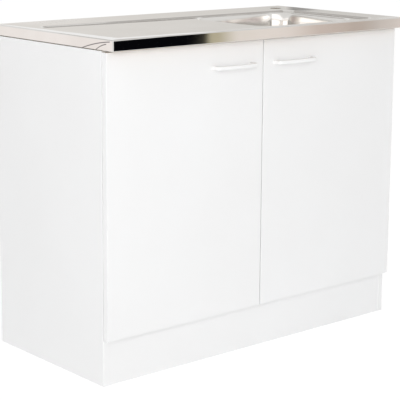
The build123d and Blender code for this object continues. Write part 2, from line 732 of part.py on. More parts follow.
# ---------------------------------------------------------------- battens and plates of the sink top
batten_x = half_w - steel - batten_gap
batten_y = half_d - steel - batten_gap
batten_front_end = front_batten_width - batten_y
batten_rear_start = batten_y - rear_batten_width
plate_lines = (carcass_front + plate_inset, half_d - plate_inset)


def batten(x0, x1, y0, y1):
    """A wooden batten inside the fold, with its edges chamfered clear of the bends."""
    body = block(x0, x1, y0, y1, carcass_top + steel + batten_gap, unit_height - steel - batten_gap)
    return chamfer(body.edges(), batten_chamfer)


def side_batten(side):
    """A short batten beside the tray, flush with the inner face of its side panel."""
    x0, x1 = sorted((side * inner_x, side * batten_x))
    body = batten(x0, x1, batten_front_end + batten_gap, batten_rear_start - batten_gap)
    return body - sink_plate_pilots(side)


def sink_plate_screw_places(side):
    """Start points of the screws that hold the flat plates at one side."""
    x = side * (inner_x - plate_thickness)
    reach = plate_length / 2 - plate_hole_inset
    return [(x, y, carcass_top + step) for y in plate_lines for step in (-reach, reach)]


def sink_plate_pilots(side):
    """Drilled holes of those screws."""
    radius = small_screw_radius + hole_gap
    return [rod(place, (side, 0, 0), radius, small_screw_length + hole_gap)
            for place in sink_plate_screw_places(side)]


def sink_plate(side, y):
    """A flat plate that ties a batten of the sink top to the side panel."""
    x0, x1 = sorted((side * (inner_x - plate_thickness), side * inner_x))
    body = block(x0, x1, y - plate_width / 2, y + plate_width / 2,
                 carcass_top - plate_length / 2, carcass_top + plate_length / 2)
    body = fillet(body.edges().filter_by(Axis.X), plate_width / 4)
    return body - sink_plate_pilots(side)


def sink_plate_screws():
    return [screw(place, (side, 0, 0), small_screw_radius, small_screw_length, small_screw_head_radius,
                  small_screw_head_height)
            for side in (-1, 1) for place in sink_plate_screw_places(side)]


# ---------------------------------------------------------------- concealed hinges
# Each hinge is a four-bar linkage. Its pieces are drawn in the left hinge's plan, with z from the
# middle of the hinge, and set at each corner by hinge_place.
def hinge_place(shape, side, level):
    """Set a piece of the hinge plan at its own corner of the cabinet."""
    piece = Pos(-half_w, carcass_front, level) * shape
    return piece if side < 0 else mirror(piece, Plane.YZ)


def slab(sketch, low, high):
    """A flat outline of the hinge plan, made solid between two heights."""
    return extrude(Pos(0, 0, low) * sketch, high - low)


def pin(point, radius, length):
    """An upright pin, or the hole for it, at one pivot."""
    return Pos(point[0], point[1], 0) * Cylinder(radius, length)


def pin_holes(*pivots):
    """Running holes for the pins at these pivots."""
    return [pin(pivot, hinge_pin_radius + pin_fit, 2 * cup_radius) for pivot in pivots]


def hinge_screw_places():
    """Both screws of a hinge plate, on the side panel's inner face."""
    return [(board, plate_screw_line, side * plate_screw_spacing / 2) for side in (-1, 1)]


def hinge_plate():
    """Mounting plate: two rounded wings with screw holes and a raised rail for the arm."""
    face = Plane(origin=(board, 0, 0), x_dir=REAR, z_dir=RIGHT)
    reach = plate_screw_spacing / 2
    wings = hull(*[(plate_screw_line, end, plate_wing_radius) for end in (reach, -reach)])
    rail_width = arm_height - 2 * arm_sheet - 2 * rail_gap
    rail_length = plate_rail_end - plate_rail_start
    rail = Pos(plate_rail_start + rail_length / 2, 0) * Rectangle(rail_length, rail_width)
    plate = extrude(face * wings, plate_base) + extrude(face * rail, plate_rail)
    radius = euro_screw_radius + hole_gap
    screw_holes = [rod(place, RIGHT, radius, plate_rail) for place in hinge_screw_places()]
    return plate - screw_holes - arm_screw_hole()


def arm_screw_hole():
    """The clamping screw's hole through the arm's back into the plate's rail."""
    depth = arm_screw_length + hole_gap
    return rod((arm_rise, arm_screw_line, 0), LEFT, arm_screw_radius + hole_gap, depth)


def hinge_arm():
    """Channel-shaped arm: two cheeks that hold both pins, and a back that dips to the plate."""
    half = arm_height / 2
    dip = (arm_rise - arm_rear_radius, plate_rail_start + 4 * arm_rear_radius)
    under = board + plate_base + seat_gap
    length = arm_end - dip[1]
    heel = Pos(under, dip[1]) * Rectangle(arm_rise - under, length, align=(Align.MIN, Align.MIN))
    cheek = hull((*arm_front_pivot, arm_nose_radius), (*arm_rear_pivot, arm_rear_radius),
                 (*dip, arm_rear_radius)) + heel
    within = arm_rear_radius - arm_sheet
    opened = [(x + step * arm_end / 4, y - step * arm_end / 2, within)
              for x, y in (arm_rear_pivot, dip) for step in (0, 1)]
    back = hull((*arm_rear_pivot, arm_rear_radius), (*dip, arm_rear_radius)) - hull(*opened)
    under_back = Rectangle(arm_rise - arm_sheet, arm_end, align=(Align.MIN, Align.MIN))
    back -= Pos(0, plate_rail_start - clear) * under_back
    back += Pos(arm_rise - arm_sheet, dip[1]) * Rectangle(arm_sheet, length, align=(Align.MIN, Align.MIN))
    cheeks = slab(cheek, half - arm_sheet, half) + slab(cheek, -half, arm_sheet - half)
    arm = cheeks + slab(back, -half, half)
    return arm - pin_holes(arm_front_pivot, arm_rear_pivot) - arm_screw_hole()


def outer_link():
    """Bent outer link: two cheeks joined by a bridge, with room for the inner link between them."""
    half = outer_link_height / 2
    bar = bar_outline([arm_rear_pivot, outer_link_bend, cup_outer_pivot], link_half_width)
    run = Vector(*outer_link_bend) - Vector(*arm_rear_pivot)
    along = Plane(origin=(*arm_rear_pivot, 0), x_dir=run, z_dir=UP)
    side = link_half_width - link_sheet / 2
    bridge = along * Pos(run.length / 2, side) * Rectangle(run.length / 3, link_sheet)
    cheeks = slab(bar, half - link_sheet, half) + slab(bar, -half, link_sheet - half)
    link = cheeks + slab(bridge, -half, half)
    return link - pin_holes(arm_rear_pivot, cup_outer_pivot)


def slot_outline(grow):
    """The slot that the cup's inner pin slides in, grown to give the eye round it."""
    turn = Pos(*slot_middle) * Rot(0, 0, slot_angle)
    radius = hinge_pin_radius + pin_fit + slot_spare + grow
    return turn * hull((-slot_travel / 2, 0, radius), (slot_travel / 2, 0, radius))


def inner_link():
    """Bent inner link with a round eye on the arm and a slotted eye on the cup's inner pin."""
    half = inner_link_height / 2
    body = bar_outline([arm_front_pivot, inner_link_bend, cup_inner_pivot], link_half_width)
    body = body + slot_outline(slot_wall) - slot_outline(0)
    return slab(body, -half, half) - pin_holes(arm_front_pivot)


def cup_screw_places():
    """Both screws of a cup, on the back of its flange."""
    y = cup_flange - door_gap
    return [(cup_x + cup_screw_offset, y, side * cup_screw_spacing / 2) for side in (-1, 1)]


def hinge_cup():
    """Cup sunk in the door, with a screw flange, a pocket for the links and two pin holes."""
    wing_x = cup_x + cup_screw_offset
    reach = cup_screw_spacing / 2
    flange = hull((cup_x, 0, cup_radius + cup_flange), (wing_x, reach, cup_wing_radius),
                  (wing_x, -reach, cup_wing_radius))
    face = Plane(origin=(0, -door_gap, 0), x_dir=RIGHT, z_dir=REAR)
    cup = extrude(face * flange, cup_flange) + rod((cup_x, -door_gap, 0), FRONT, cup_radius, cup_depth)
    room_depth = clear + door_gap + cup_depth - cup_wall
    room = rod((cup_x, clear, 0), FRONT, cup_radius - cup_wall, room_depth)
    pocket = room & Pos(cup_x, 0, 0) * Box(2 * cup_radius, 2 * room_depth, cup_pocket_height)
    half = outer_link_height / 2 + clear
    notch_y = cup_flange - door_gap - cup_notch
    notch = block(cup_x - 2 * cup_radius, cup_x + 2 * cup_radius, notch_y, clear, -half, half)
    radius = small_screw_radius + hole_gap
    holes = [rod(place, FRONT, radius, 2 * cup_flange) for place in cup_screw_places()]
    holes += [pin(pivot, hinge_pin_radius + pin_fit, cup_pin_length + 2 * hole_gap)
              for pivot in (cup_outer_pivot, cup_inner_pivot)]
    return cup - pocket - notch - holes


def arm_pins():
    """The two pins that carry the links in the arm."""
    return [pin(pivot, hinge_pin_radius, arm_height) for pivot in (arm_front_pivot, arm_rear_pivot)]


def cup_pins():
    """A pin through the inner link's slot, and two stub pins that leave the inner link room to pass."""
    start = inner_link_height / 2 + 2 * seat_gap
    stub = cup_pin_length / 2 - start
    stubs = [Pos(0, 0, step * (start + stub / 2)) * pin(cup_outer_pivot, hinge_pin_radius, stub)
             for step in (-1, 1)]
    return [pin(cup_inner_pivot, hinge_pin_radius, cup_pin_length)] + stubs


def plate_screws():
    """The two screws of one hinge plate."""
    return [screw((board + plate_base, y, z), LEFT, euro_screw_radius, plate_base + euro_screw_length,
                  euro_screw_head_radius, small_screw_head_height) for x, y, z in hinge_screw_places()]


def arm_screw():
    """The screw that clamps the arm on the rail of its plate."""
    return screw((arm_rise, arm_screw_line, 0), LEFT, arm_screw_radius, arm_screw_length,
                 arm_screw_head_radius, arm_screw_head_height)


def cup_screws():
    """The two screws of one cup."""
    return [screw(place, FRONT, small_screw_radius, cup_screw_length, small_screw_head_radius,
                  small_screw_head_height) for place in cup_screw_places()]


def at_both_hinges(side, pieces):
    """Copies of the pieces of one hinge at both hinges of a door."""
    return [hinge_place(piece, side, level) for level in hinge_levels.values() for piece in pieces]


# ---------------------------------------------------------------- side panels and doors
def side_panel(side):
    """Side of the carcass, down to the floor, drilled for fittings, hinges and sink plates."""
    x0, x1 = sorted((side * inner_x, side * half_w))
    body = round_upright_edges(block(x0, x1, carcass_front, half_d, 0, carcass_top), carcass_front)
    tools = sink_plate_pilots(side)
    for places in fittings.values():
        for kind, y, z, face in places:
            if kind == "dowel":
                tools.append(dowel(side, y, z, hole_gap))
            else:
                radius = bolt_thread_radius + hole_gap
                depth = bolt_thread_length + hole_gap
                tools.append(rod((side * inner_x, y, z), (side, 0, 0), radius, depth))
    depth = euro_screw_length + hole_gap
    drilled = [rod(place, LEFT, euro_screw_radius + hole_gap, depth) for place in hinge_screw_places()]
    return body - tools - at_both_hinges(side, drilled)


def handle_holes(side):
    """Where the two handle screws start, on the back of the door."""
    x = side * handle_from_centre
    return [(x + step, door_back, handle_z) for step in (-handle_hole_spacing / 2, handle_hole_spacing / 2)]


def door(side):
    """Coated board with sunk bores for the hinge cups and through holes for the handle."""
    x0, x1 = sorted((side * door_centre_gap / 2, side * (half_w - door_reveal)))
    body = round_upright_edges(block(x0, x1, door_front, door_back, door_bottom, door_top), door_front)
    bore = rod((cup_x, -door_gap, 0), FRONT, cup_radius + cup_gap, cup_depth + cup_gap)
    pilots = [rod(place, FRONT, small_screw_radius + hole_gap, cup_screw_length + hole_gap)
              for place in cup_screw_places()]
    body -= at_both_hinges(side, [bore] + pilots)
    radius = handle_screw_radius + hole_gap
    return body - [rod((x, y + clear, z), FRONT, radius, board + 2 * clear) for x, y, z in handle_holes(side)]


def bow(inset):
    """The handle's outline inside its outer face by inset: leaning feet under a shallow arc."""
    half = handle_length / 2 - (handle_foot if inset else 0)
    top = handle_projection - inset
    rise = (handle_length ** 2 / 4 + handle_bow ** 2) / (2 * handle_bow) - inset
    shoulder = half - handle_lean
    feet = make_face(Polyline((-half, 0), (half, 0), (shoulder, top), (-shoulder, top), close=True))
    shape = feet & Pos(0, top - rise) * Circle(rise)
    corners = shape.vertices().group_by(Axis.Y)[-1]
    return fillet(corners, max(handle_shoulder_radius - inset, handle_edge_radius))


def handle(side):
    """White bow handle: two feet and a grip bar that bows gently away from the door."""
    face = Plane(origin=(side * handle_from_centre, door_front, handle_z), x_dir=RIGHT, z_dir=DOWN)
    body = extrude(face * (bow(0) - bow(handle_bar)), handle_width / 2, both=True)
    touching = body.edges().filter_by_position(Axis.Y, door_front - near, door_front + near)
    body = fillet(body.edges().filter_by(lambda edge: edge not in touching).filter_by(Axis.Z, reverse=True),
                  handle_edge_radius)
    radius = handle_screw_radius + hole_gap
    depth = clear + handle_screw_in_foot + hole_gap
    return body - [rod((x, door_front + clear, z), FRONT, radius, depth) for x, y, z in handle_holes(side)]


def handle_screws(side):
    return [screw(place, FRONT, handle_screw_radius, board + handle_screw_in_foot, handle_screw_head_radius,
                  handle_screw_head_height) for place in handle_holes(side)]


def bumpers(side):
    """Soft pads on the back of a door, which meet the front rail and the bottom panel."""
    x = side * (door_centre_gap / 2 + bumper_inset)
    return [rod((x, door_back, z), REAR, bumper_radius, door_gap - bumper_gap)
            for z in (bottom_line, door_top - bumper_inset)]


# ---------------------------------------------------------------- every piece under its name
os.makedirs("parts", exist_ok=True)

save("sink_deck", sink_deck())
save("sink_bowl", sink_bowl())
save("strainer_dish", strainer_dish())
save("strainer_screw", strainer_screw())
save("strainer_gasket", strainer_gasket())
save("strainer_basket", strainer_basket())
save("basket_knob", basket_knob())
save("basket_plug", basket_plug())
save("waste_body", waste_body())
save("trap_nuts", *trap_nuts())
save("trap_washers", *trap_washers())
save("tail_pipe", tail_pipe())
save("trap_body", trap_body())
save("trap_cup", trap_cup())
save("outlet_pipe", outlet_pipe())

save("bottom_panel", between_sides("bottom_panel", carcass_front, half_d, plinth_height, bottom_top))
save("plinth_board", between_sides("plinth_board", plinth_front, plinth_front + board, 0, plinth_height))
save("front_rail", between_sides("front_rail", carcass_front, carcass_front + board,
                                 carcass_top - front_rail_height, carcass_top))
save("rear_rail_top", between_sides("rear_rail_top", half_d - board, half_d,
                                    carcass_top - rear_rail_height, carcass_top))
save("rear_rail_bottom", between_sides("rear_rail_bottom", half_d - board, half_d,
                                       bottom_top, bottom_top + rear_rail_height))
save("dowels", *fitting_group("dowel", lambda side, y, z, face: dowel(side, y, z, 0)))
save("cam_locks", *fitting_group("cam", cam_lock))
save("cam_bolts", *fitting_group("cam", lambda side, y, z, face: cam_bolt(side, y, z)))
save("batten_front", batten(-batten_x, batten_x, -batten_y, batten_front_end))
save("batten_rear", batten(-batten_x, batten_x, batten_rear_start, batten_y))
save("side_battens", side_batten(-1), side_batten(1))
save("sink_plates", *[sink_plate(side, y) for side in (-1, 1) for y in plate_lines])
save("sink_plate_screws", *sink_plate_screws())

for name, side in (("left", -1), ("right", 1)):
    save(f"side_panel_{name}", side_panel(side))
    save(f"door_{name}", door(side))
    save(f"handle_{name}", handle(side))
    save(f"handle_screws_{name}", *handle_screws(side))
    save(f"bumpers_{name}", *bumpers(side))
    save(f"hinge_cups_{name}", *at_both_hinges(side, [hinge_cup()]))
    save(f"cup_pins_{name}", *at_both_hinges(side, cup_pins()))
    save(f"cup_screws_{name}", *at_both_hinges(side, cup_screws()))
    save(f"outer_links_{name}", *at_both_hinges(side, [outer_link()]))
    save(f"inner_links_{name}", *at_both_hinges(side, [inner_link()]))
    for end, level in hinge_levels.items():
        save(f"hinge_plate_{name}_{end}", hinge_place(hinge_plate(), side, level))
        save(f"hinge_arm_{name}_{end}", hinge_place(hinge_arm(), side, level))

save("hinge_plate_screws", *[piece for side in (-1, 1) for piece in at_both_hinges(side, plate_screws())])
save("hinge_arm_screws", *[piece for side in (-1, 1) for piece in at_both_hinges(side, [arm_screw()])])
save("hinge_arm_pins", *[piece for side in (-1, 1) for piece in at_both_hinges(side, arm_pins())])
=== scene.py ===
# %% [markdown]
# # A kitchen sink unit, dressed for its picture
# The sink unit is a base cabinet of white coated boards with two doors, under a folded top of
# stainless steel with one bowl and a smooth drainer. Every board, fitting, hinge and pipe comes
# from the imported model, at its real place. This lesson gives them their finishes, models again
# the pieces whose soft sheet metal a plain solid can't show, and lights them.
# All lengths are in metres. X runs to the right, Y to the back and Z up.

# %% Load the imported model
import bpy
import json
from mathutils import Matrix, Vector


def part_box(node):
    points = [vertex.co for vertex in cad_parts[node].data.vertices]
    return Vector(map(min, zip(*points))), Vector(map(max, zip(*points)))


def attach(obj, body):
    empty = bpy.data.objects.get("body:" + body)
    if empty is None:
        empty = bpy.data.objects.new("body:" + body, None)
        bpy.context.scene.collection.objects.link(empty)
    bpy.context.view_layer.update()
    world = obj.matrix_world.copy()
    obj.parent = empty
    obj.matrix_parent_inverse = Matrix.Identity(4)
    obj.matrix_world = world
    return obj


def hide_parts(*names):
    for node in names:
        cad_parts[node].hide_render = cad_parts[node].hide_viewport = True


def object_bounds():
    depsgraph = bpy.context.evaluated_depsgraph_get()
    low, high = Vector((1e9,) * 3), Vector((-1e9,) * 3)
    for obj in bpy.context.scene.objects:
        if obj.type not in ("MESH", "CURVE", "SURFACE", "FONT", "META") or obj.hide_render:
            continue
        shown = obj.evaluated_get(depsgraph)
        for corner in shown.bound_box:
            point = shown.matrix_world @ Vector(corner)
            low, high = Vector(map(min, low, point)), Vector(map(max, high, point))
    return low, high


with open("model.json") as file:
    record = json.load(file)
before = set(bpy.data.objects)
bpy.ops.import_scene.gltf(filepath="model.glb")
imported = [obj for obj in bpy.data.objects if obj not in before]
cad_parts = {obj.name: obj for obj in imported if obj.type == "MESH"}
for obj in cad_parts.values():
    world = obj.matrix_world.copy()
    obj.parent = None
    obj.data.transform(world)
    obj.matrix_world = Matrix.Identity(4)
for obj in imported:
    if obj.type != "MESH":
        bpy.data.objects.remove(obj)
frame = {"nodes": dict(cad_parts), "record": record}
box_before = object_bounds()
print("pieces in the packed model:", len(frame["nodes"]))

# %% Tools of the lesson
import json
import math

import bpy
from mathutils import Matrix, Vector
from mathutils.geometry import delaunay_2d_cdt

MM = 0.001
print("metres in a millimetre:", MM)


# %% [markdown]
# ## Where the camera stands
# The unit was photographed from its front left, from a little above the sink top and from less
# than four metres away. A camera is a point, three turns and a focal length. It could be
# aimed with a constraint, but plain turns keep it where it is put: the yaw turns it from the
# back wall toward the right, the pitch tips it down, and the roll levels the horizon. A small
# shift lifts the picture a little, as a view camera does, to keep upright edges upright.

# %% Place the camera
camera_place = Vector((-2.390, -2.767, 1.178))
camera_yaw = 0.7081
camera_pitch = 0.1897
camera_roll = 0.0065
camera_lens = 123.6             # for a sensor that is 36 mm wide
camera_shift = -0.104           # in widths of the picture


def camera_turn(yaw, pitch, roll):
    """The camera's axes as a rotation: it looks along its own -Z, with its own Y upward."""
    ahead = Vector((math.sin(yaw) * math.cos(pitch), math.cos(yaw) * math.cos(pitch), -math.sin(pitch)))
    right = Vector((math.cos(yaw), -math.sin(yaw), 0))
    upward = right.cross(ahead)
    tipped_right = math.cos(roll) * right + math.sin(roll) * upward
    tipped_up = math.cos(roll) * upward - math.sin(roll) * right
    return Matrix((tipped_right, tipped_up, -ahead)).transposed()


camera_data = bpy.data.cameras.new("camera")
camera_data.lens = camera_lens
camera_data.shift_y = camera_shift
camera = bpy.data.objects.new("camera", camera_data)
turn = camera_turn(camera_yaw, camera_pitch, camera_roll)
camera.matrix_world = Matrix.Translation(camera_place) @ turn.to_4x4()
bpy.context.scene.collection.objects.link(camera)
bpy.context.scene.camera = camera
unit_middle = (box_before[0] + box_before[1]) / 2
print("camera to the middle of the unit:", round((camera_place - unit_middle).length, 2), "m")


# %% [markdown]
# ## Small helpers for materials
# Each finish is a small graph of nodes: where a point lies on the piece, a pattern worked out
# from that place, and the shader that the pattern feeds. The patterns use the piece's own
# coordinates, so a finish stays on its piece when a door swings, and no picture is needed.

# %% Helpers that add nodes
def add(tree, kind, values=None, **settings):
    """Add one node, set its options and give its sockets a value or a link."""
    made = tree.nodes.new(kind)
    for option, value in settings.items():
        setattr(made, option, value)
    for socket, value in (values or {}).items():
        if isinstance(value, bpy.types.NodeSocket):
            tree.links.new(value, made.inputs[socket])
        else:
            made.inputs[socket].default_value = value
    return made


def new_finish(name, constants):
    """A material with a shader whose constant values are set on its own sockets."""
    material = bpy.data.materials.new(name)
    material.use_nodes = True
    tree = material.node_tree
    shader = tree.nodes["Principled BSDF"]
    for socket, value in constants.items():
        shader.inputs[socket].default_value = value
    return material, tree, shader


def pattern(tree, scale, detail=3.0, roughness=0.5):
    """Noise in the piece's own coordinates; scale gives its features per metre along X, Y and Z."""
    place = add(tree, "ShaderNodeTexCoord").outputs["Object"]
    stretched = add(tree, "ShaderNodeMapping", {"Vector": place, "Scale": scale})
    values = {"Vector": stretched.outputs["Vector"], "Scale": 1.0, "Detail": detail, "Roughness": roughness}
    return add(tree, "ShaderNodeTexNoise", values).outputs["Fac"]


def spread(tree, value, low, high):
    """A pattern's value, spread from low to high."""
    values = {"Value": value, "From Min": 0.3, "From Max": 0.7, "To Min": low, "To Max": high}
    return add(tree, "ShaderNodeMapRange", values).outputs["Result"]


def blend_colours(tree, amount, first, second):
    """A colour that runs from first to second with the amount."""
    values = {"Factor": amount, "A": first, "B": second}
    mix = tree.nodes.new("ShaderNodeMix")
    mix.data_type = "RGBA"
    for socket in mix.inputs:
        wanted = values.get(socket.name)
        if wanted is None or (socket.name == "Factor") != (socket.type == "VALUE"):
            continue
        if socket.name != "Factor" and socket.type != "RGBA":
            continue
        if isinstance(wanted, bpy.types.NodeSocket):
            tree.links.new(wanted, socket)
        else:
            socket.default_value = wanted
    return [socket for socket in mix.outputs if socket.type == "RGBA"][0]


def bumped(tree, height, depth, strength=1.0, under=None):
    """Turn a pattern into a bump of a real depth, on top of another bump if there is one."""
    values = {"Height": height, "Distance": depth, "Strength": strength}
    if under is not None:
        values["Normal"] = under
    return add(tree, "ShaderNodeBump", values).outputs["Normal"]


def colour(red, green, blue):
    """A colour as numbers of light, from the usual 0 to 255 of a picture."""
    def light(part):
        share = part / 255
        return share / 12.92 if share <= 0.04045 else ((share + 0.055) / 1.055) ** 2.4
    return light(red), light(green), light(blue), 1.0


print("a mid grey of 186 is light of", round(colour(186, 186, 186)[0], 3))


# %% [markdown]
# ## Stainless steel
# The sink top is drawn and folded from thin stainless sheet, and then polished along its length.
# From a step away it is a soft mirror: it takes the colour of the room, a little warm and grey.
# Three things keep it from looking like chrome: very fine polishing lines along X that blur the
# mirror one way, a slow waviness left by the press, and small changes of gloss. Near the front
# left corner, where the fold was closed, two thin curved dark lines of painted shade are laid on
# the sheet. Each is a parabola on the left face. A mask finds them by their place, so they need no picture.

# %% Painted shade lines by the closed corner
deck_low, deck_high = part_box("sink_deck")
# Each painted shade line: its height, slope and curve over the distance from the corner, and where it starts
# and ends.
corner_shade_lines = (((0.8450, -0.070, -1.00), (0.012, 0.126)),
                ((0.8376, 0.142, -5.62), (0.026, 0.066)))
shade_line_core = 0.5 * MM            # half the width of a mark where it is darkest
shade_line_edge = 1.7 * MM            # half its width where it has faded away
face_depth = 0.2 * MM           # how far a point may lie from the left face


def painted_shade_mask(tree, left, front):
    """One in the painted shade lines on the fold's left face, nought elsewhere."""
    place = add(tree, "ShaderNodeTexCoord").outputs["Object"]
    parts = add(tree, "ShaderNodeSeparateXYZ", {"Vector": place}).outputs

    def math_node(operation, *values):
        return add(tree, "ShaderNodeMath", dict(enumerate(values)), operation=operation).outputs[0]

    distance = math_node("SUBTRACT", parts["Y"], front)
    face = math_node("LESS_THAN", parts["X"], left + face_depth)
    total = 0.0
    for (level, slope, curve), (start, end) in corner_shade_lines:
        bent = math_node("MULTIPLY_ADD", distance, curve, slope)
        height = math_node("MULTIPLY_ADD", distance, bent, level)
        off = math_node("ABSOLUTE", math_node("SUBTRACT", parts["Z"], height))
        values = {"Value": off, "From Min": shade_line_core, "From Max": shade_line_edge, "To Min": 1.0, "To Max": 0.0}
        line = add(tree, "ShaderNodeMapRange", values).outputs["Result"]
        near = math_node("COMPARE", distance, (start + end) / 2, (end - start) / 2)
        total = math_node("MAXIMUM", math_node("MULTIPLY", line, near), total)
    return math_node("MULTIPLY", total, face)


print("marks by the corner:", len(corner_shade_lines))

# %% Finish: stainless steel
steel_tones = ((0.66, 0.645, 0.62, 1), (0.72, 0.71, 0.69, 1))
# painted shade: the dark tone of the lines by the corner of the fold
painted_shade_tone = (0.15, 0.14, 0.145, 1)
polish_depth = 0.0007 * MM
fold_shine, bowl_shine = 0.035, 0.085
fold_dents = 0.3 * MM
bowl_dents = 0.03 * MM          # deep drawing pulls the bowl's sheet taut


def stainless(name, shine, dents, shade_lines_at=None):
    """Polished sheet; shade_lines_at gives the left and front edge of a piece with painted shade lines by
    its corner.
    """
    material, tree, shader = new_finish(name, {"Metallic": 1.0})
    cloud = pattern(tree, (7.0, 7.0, 7.0), detail=4.0)
    lines = pattern(tree, (12.0, 1600.0, 1600.0), detail=2.0)
    waves = pattern(tree, (5.0, 6.5, 9.0), detail=1.0)
    grey = blend_colours(tree, spread(tree, cloud, 0.0, 1.0), *steel_tones)
    if shade_lines_at is not None:
        # painted shade: dark lines blended into the steel's colour near the corner
        grey = blend_colours(tree, painted_shade_mask(tree, *shade_lines_at), grey, painted_shade_tone)
    tree.links.new(grey, shader.inputs["Base Color"])
    tree.links.new(spread(tree, cloud, shine - 0.015, shine + 0.03), shader.inputs["Roughness"])
    slow = bumped(tree, waves, dents)
    tree.links.new(bumped(tree, lines, polish_depth, under=slow), shader.inputs["Normal"])
    return material


sink_steel = stainless("sink_steel", fold_shine, fold_dents, (deck_low.x, deck_low.y))
drawn_steel = stainless("drawn_steel", bowl_shine, bowl_dents)
print("steel nodes:", len(sink_steel.node_tree.nodes))


# %% [markdown]
# ## White coated board
# The cabinet is chipboard under a white melamine film. The film has a faint grain that only
# shows as a soft break in its gloss. The maker bands the edges that are seen, and leaves the
# rear edges of the sides and the bottom bare, so there the chips show. A mask finds those edges
# by their place and by the way they face, in the board's own coordinates.

# %% Finish: white coated board
def chips(tree):
    """The colour of raw chipboard: pale and dark chips of a few millimetres."""
    place = add(tree, "ShaderNodeTexCoord").outputs["Object"]
    cells = add(tree, "ShaderNodeTexVoronoi", {"Vector": place, "Scale": 420.0})
    fine = pattern(tree, (600.0, 600.0, 600.0), detail=4.0)
    tone = blend_colours(tree, cells.outputs["Distance"], (0.60, 0.43, 0.25, 1), (0.33, 0.21, 0.11, 1))
    return blend_colours(tree, spread(tree, fine, 0.0, 0.6), tone, (0.74, 0.60, 0.40, 1))


def facing_back(tree, rear):
    """One on faces that look to the back and lie at the rear edge, nought elsewhere."""
    spot = add(tree, "ShaderNodeTexCoord")
    normal = add(tree, "ShaderNodeSeparateXYZ", {"Vector": spot.outputs["Normal"]}).outputs["Y"]
    depth = add(tree, "ShaderNodeSeparateXYZ", {"Vector": spot.outputs["Object"]}).outputs["Y"]
    faces = add(tree, "ShaderNodeMath", {0: normal, 1: 0.9}, operation="GREATER_THAN").outputs[0]
    lies = add(tree, "ShaderNodeMath", {0: depth, 1: rear}, operation="GREATER_THAN").outputs[0]
    return add(tree, "ShaderNodeMath", {0: faces, 1: lies}, operation="MULTIPLY").outputs[0]


film_tones = ((0.862, 0.862, 0.862, 1), (0.882, 0.884, 0.886, 1))
film_depth = 0.012 * MM


def coated_board(name, bare_rear=None):
    """White film over chipboard; bare_rear is the depth behind which edges show the chips."""
    material, tree, shader = new_finish(name, {"Specular IOR Level": 0.45})
    grain = pattern(tree, (260.0, 260.0, 70.0), detail=5.0)
    cloud = pattern(tree, (3.0, 3.0, 3.0), detail=2.0)
    white = blend_colours(tree, spread(tree, cloud, 0.0, 1.0), *film_tones)
    if bare_rear is not None:
        white = blend_colours(tree, facing_back(tree, bare_rear), white, chips(tree))
    tree.links.new(white, shader.inputs["Base Color"])
    tree.links.new(spread(tree, grain, 0.30, 0.40), shader.inputs["Roughness"])
    tree.links.new(bumped(tree, grain, film_depth), shader.inputs["Normal"])
    return material


edge_depth = 0.1 * MM           # how deep a bare face may lie and still belong to the rear edge
rear_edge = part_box("side_panel_left")[1].y - edge_depth
white_board = coated_board("white_board")
white_board_bare_rear = coated_board("white_board_bare_rear", rear_edge)
print("rear edges lie behind y =", round(rear_edge, 4))


# %% [markdown]
# ## Wood, moulded plastic and rubber
# The battens under the steel are planed spruce, and the dowels are beech with pressed grooves.
# Both show long fibres, so their noise is stretched along the grain. Handles and waste fittings
# are moulded: a smooth colour whose gloss changes a little. Rubber is dull and nearly black.

# %% Finishes: wood, plastic and rubber
def planed_wood(name, pale, dark, along):
    """Wood whose fibres run along one axis, with growth lines and pores."""
    material, tree, shader = new_finish(name, {"Roughness": 0.62})
    length, ring_scale, fibre_scale, ring_count = 5.0, 45.0, 960.0, 26.0
    pore_depth = 0.05 * MM
    rings = pattern(tree, tuple(length if axis == along else ring_scale for axis in "XYZ"), detail=2.0)
    fibres = pattern(tree, tuple(length if axis == along else fibre_scale for axis in "XYZ"), detail=4.0)
    bands = add(tree, "ShaderNodeMath", {0: rings, 1: ring_count}, operation="MULTIPLY").outputs[0]
    waves = add(tree, "ShaderNodeMath", {0: bands}, operation="SINE").outputs[0]
    level = add(tree, "ShaderNodeMapRange", {"Value": waves, "From Min": -1.0}).outputs["Result"]
    tone = blend_colours(tree, level, pale, dark)
    tone = blend_colours(tree, spread(tree, fibres, 0.0, 0.45), tone, dark)
    tree.links.new(tone, shader.inputs["Base Color"])
    tree.links.new(bumped(tree, fibres, pore_depth), shader.inputs["Normal"])
    return material


def moulded(name, tone, rough, depth, grain):
    """Moulded plastic or rubber, with a fine surface grain and a gloss that drifts."""
    material, tree, shader = new_finish(name, {"Specular IOR Level": 0.5})
    cloud = pattern(tree, (30.0, 30.0, 30.0), detail=3.0)
    fine = pattern(tree, (grain, grain, grain), detail=2.0)
    lighter = tuple(min(1.0, part * 1.04) for part in tone[:3]) + (1.0,)
    clouded = blend_colours(tree, spread(tree, cloud, 0.0, 1.0), tone, lighter)
    tree.links.new(clouded, shader.inputs["Base Color"])
    tree.links.new(spread(tree, fine, rough - 0.04, rough + 0.06), shader.inputs["Roughness"])
    tree.links.new(bumped(tree, fine, depth), shader.inputs["Normal"])
    return material


spruce_tones = ((0.72, 0.52, 0.30, 1), (0.56, 0.35, 0.17, 1))
spruce_along_x = planed_wood("spruce_along_x", *spruce_tones, "X")
spruce_along_y = planed_wood("spruce_along_y", *spruce_tones, "Y")
beech = planed_wood("beech", (0.66, 0.47, 0.29, 1), (0.52, 0.33, 0.18, 1), "X")
handle_plastic = moulded("handle_plastic", (0.88, 0.88, 0.88, 1), 0.42, 0.003 * MM, 900.0)
waste_plastic = moulded("waste_plastic", (0.80, 0.80, 0.79, 1), 0.38, 0.01 * MM, 700.0)
black_rubber = moulded("black_rubber", (0.022, 0.022, 0.024, 1), 0.62, 0.02 * MM, 1200.0)
bumper_plastic = moulded("bumper_plastic", (0.70, 0.70, 0.68, 1), 0.30, 0.003 * MM, 900.0)
print("beech nodes:", len(beech.node_tree.nodes))


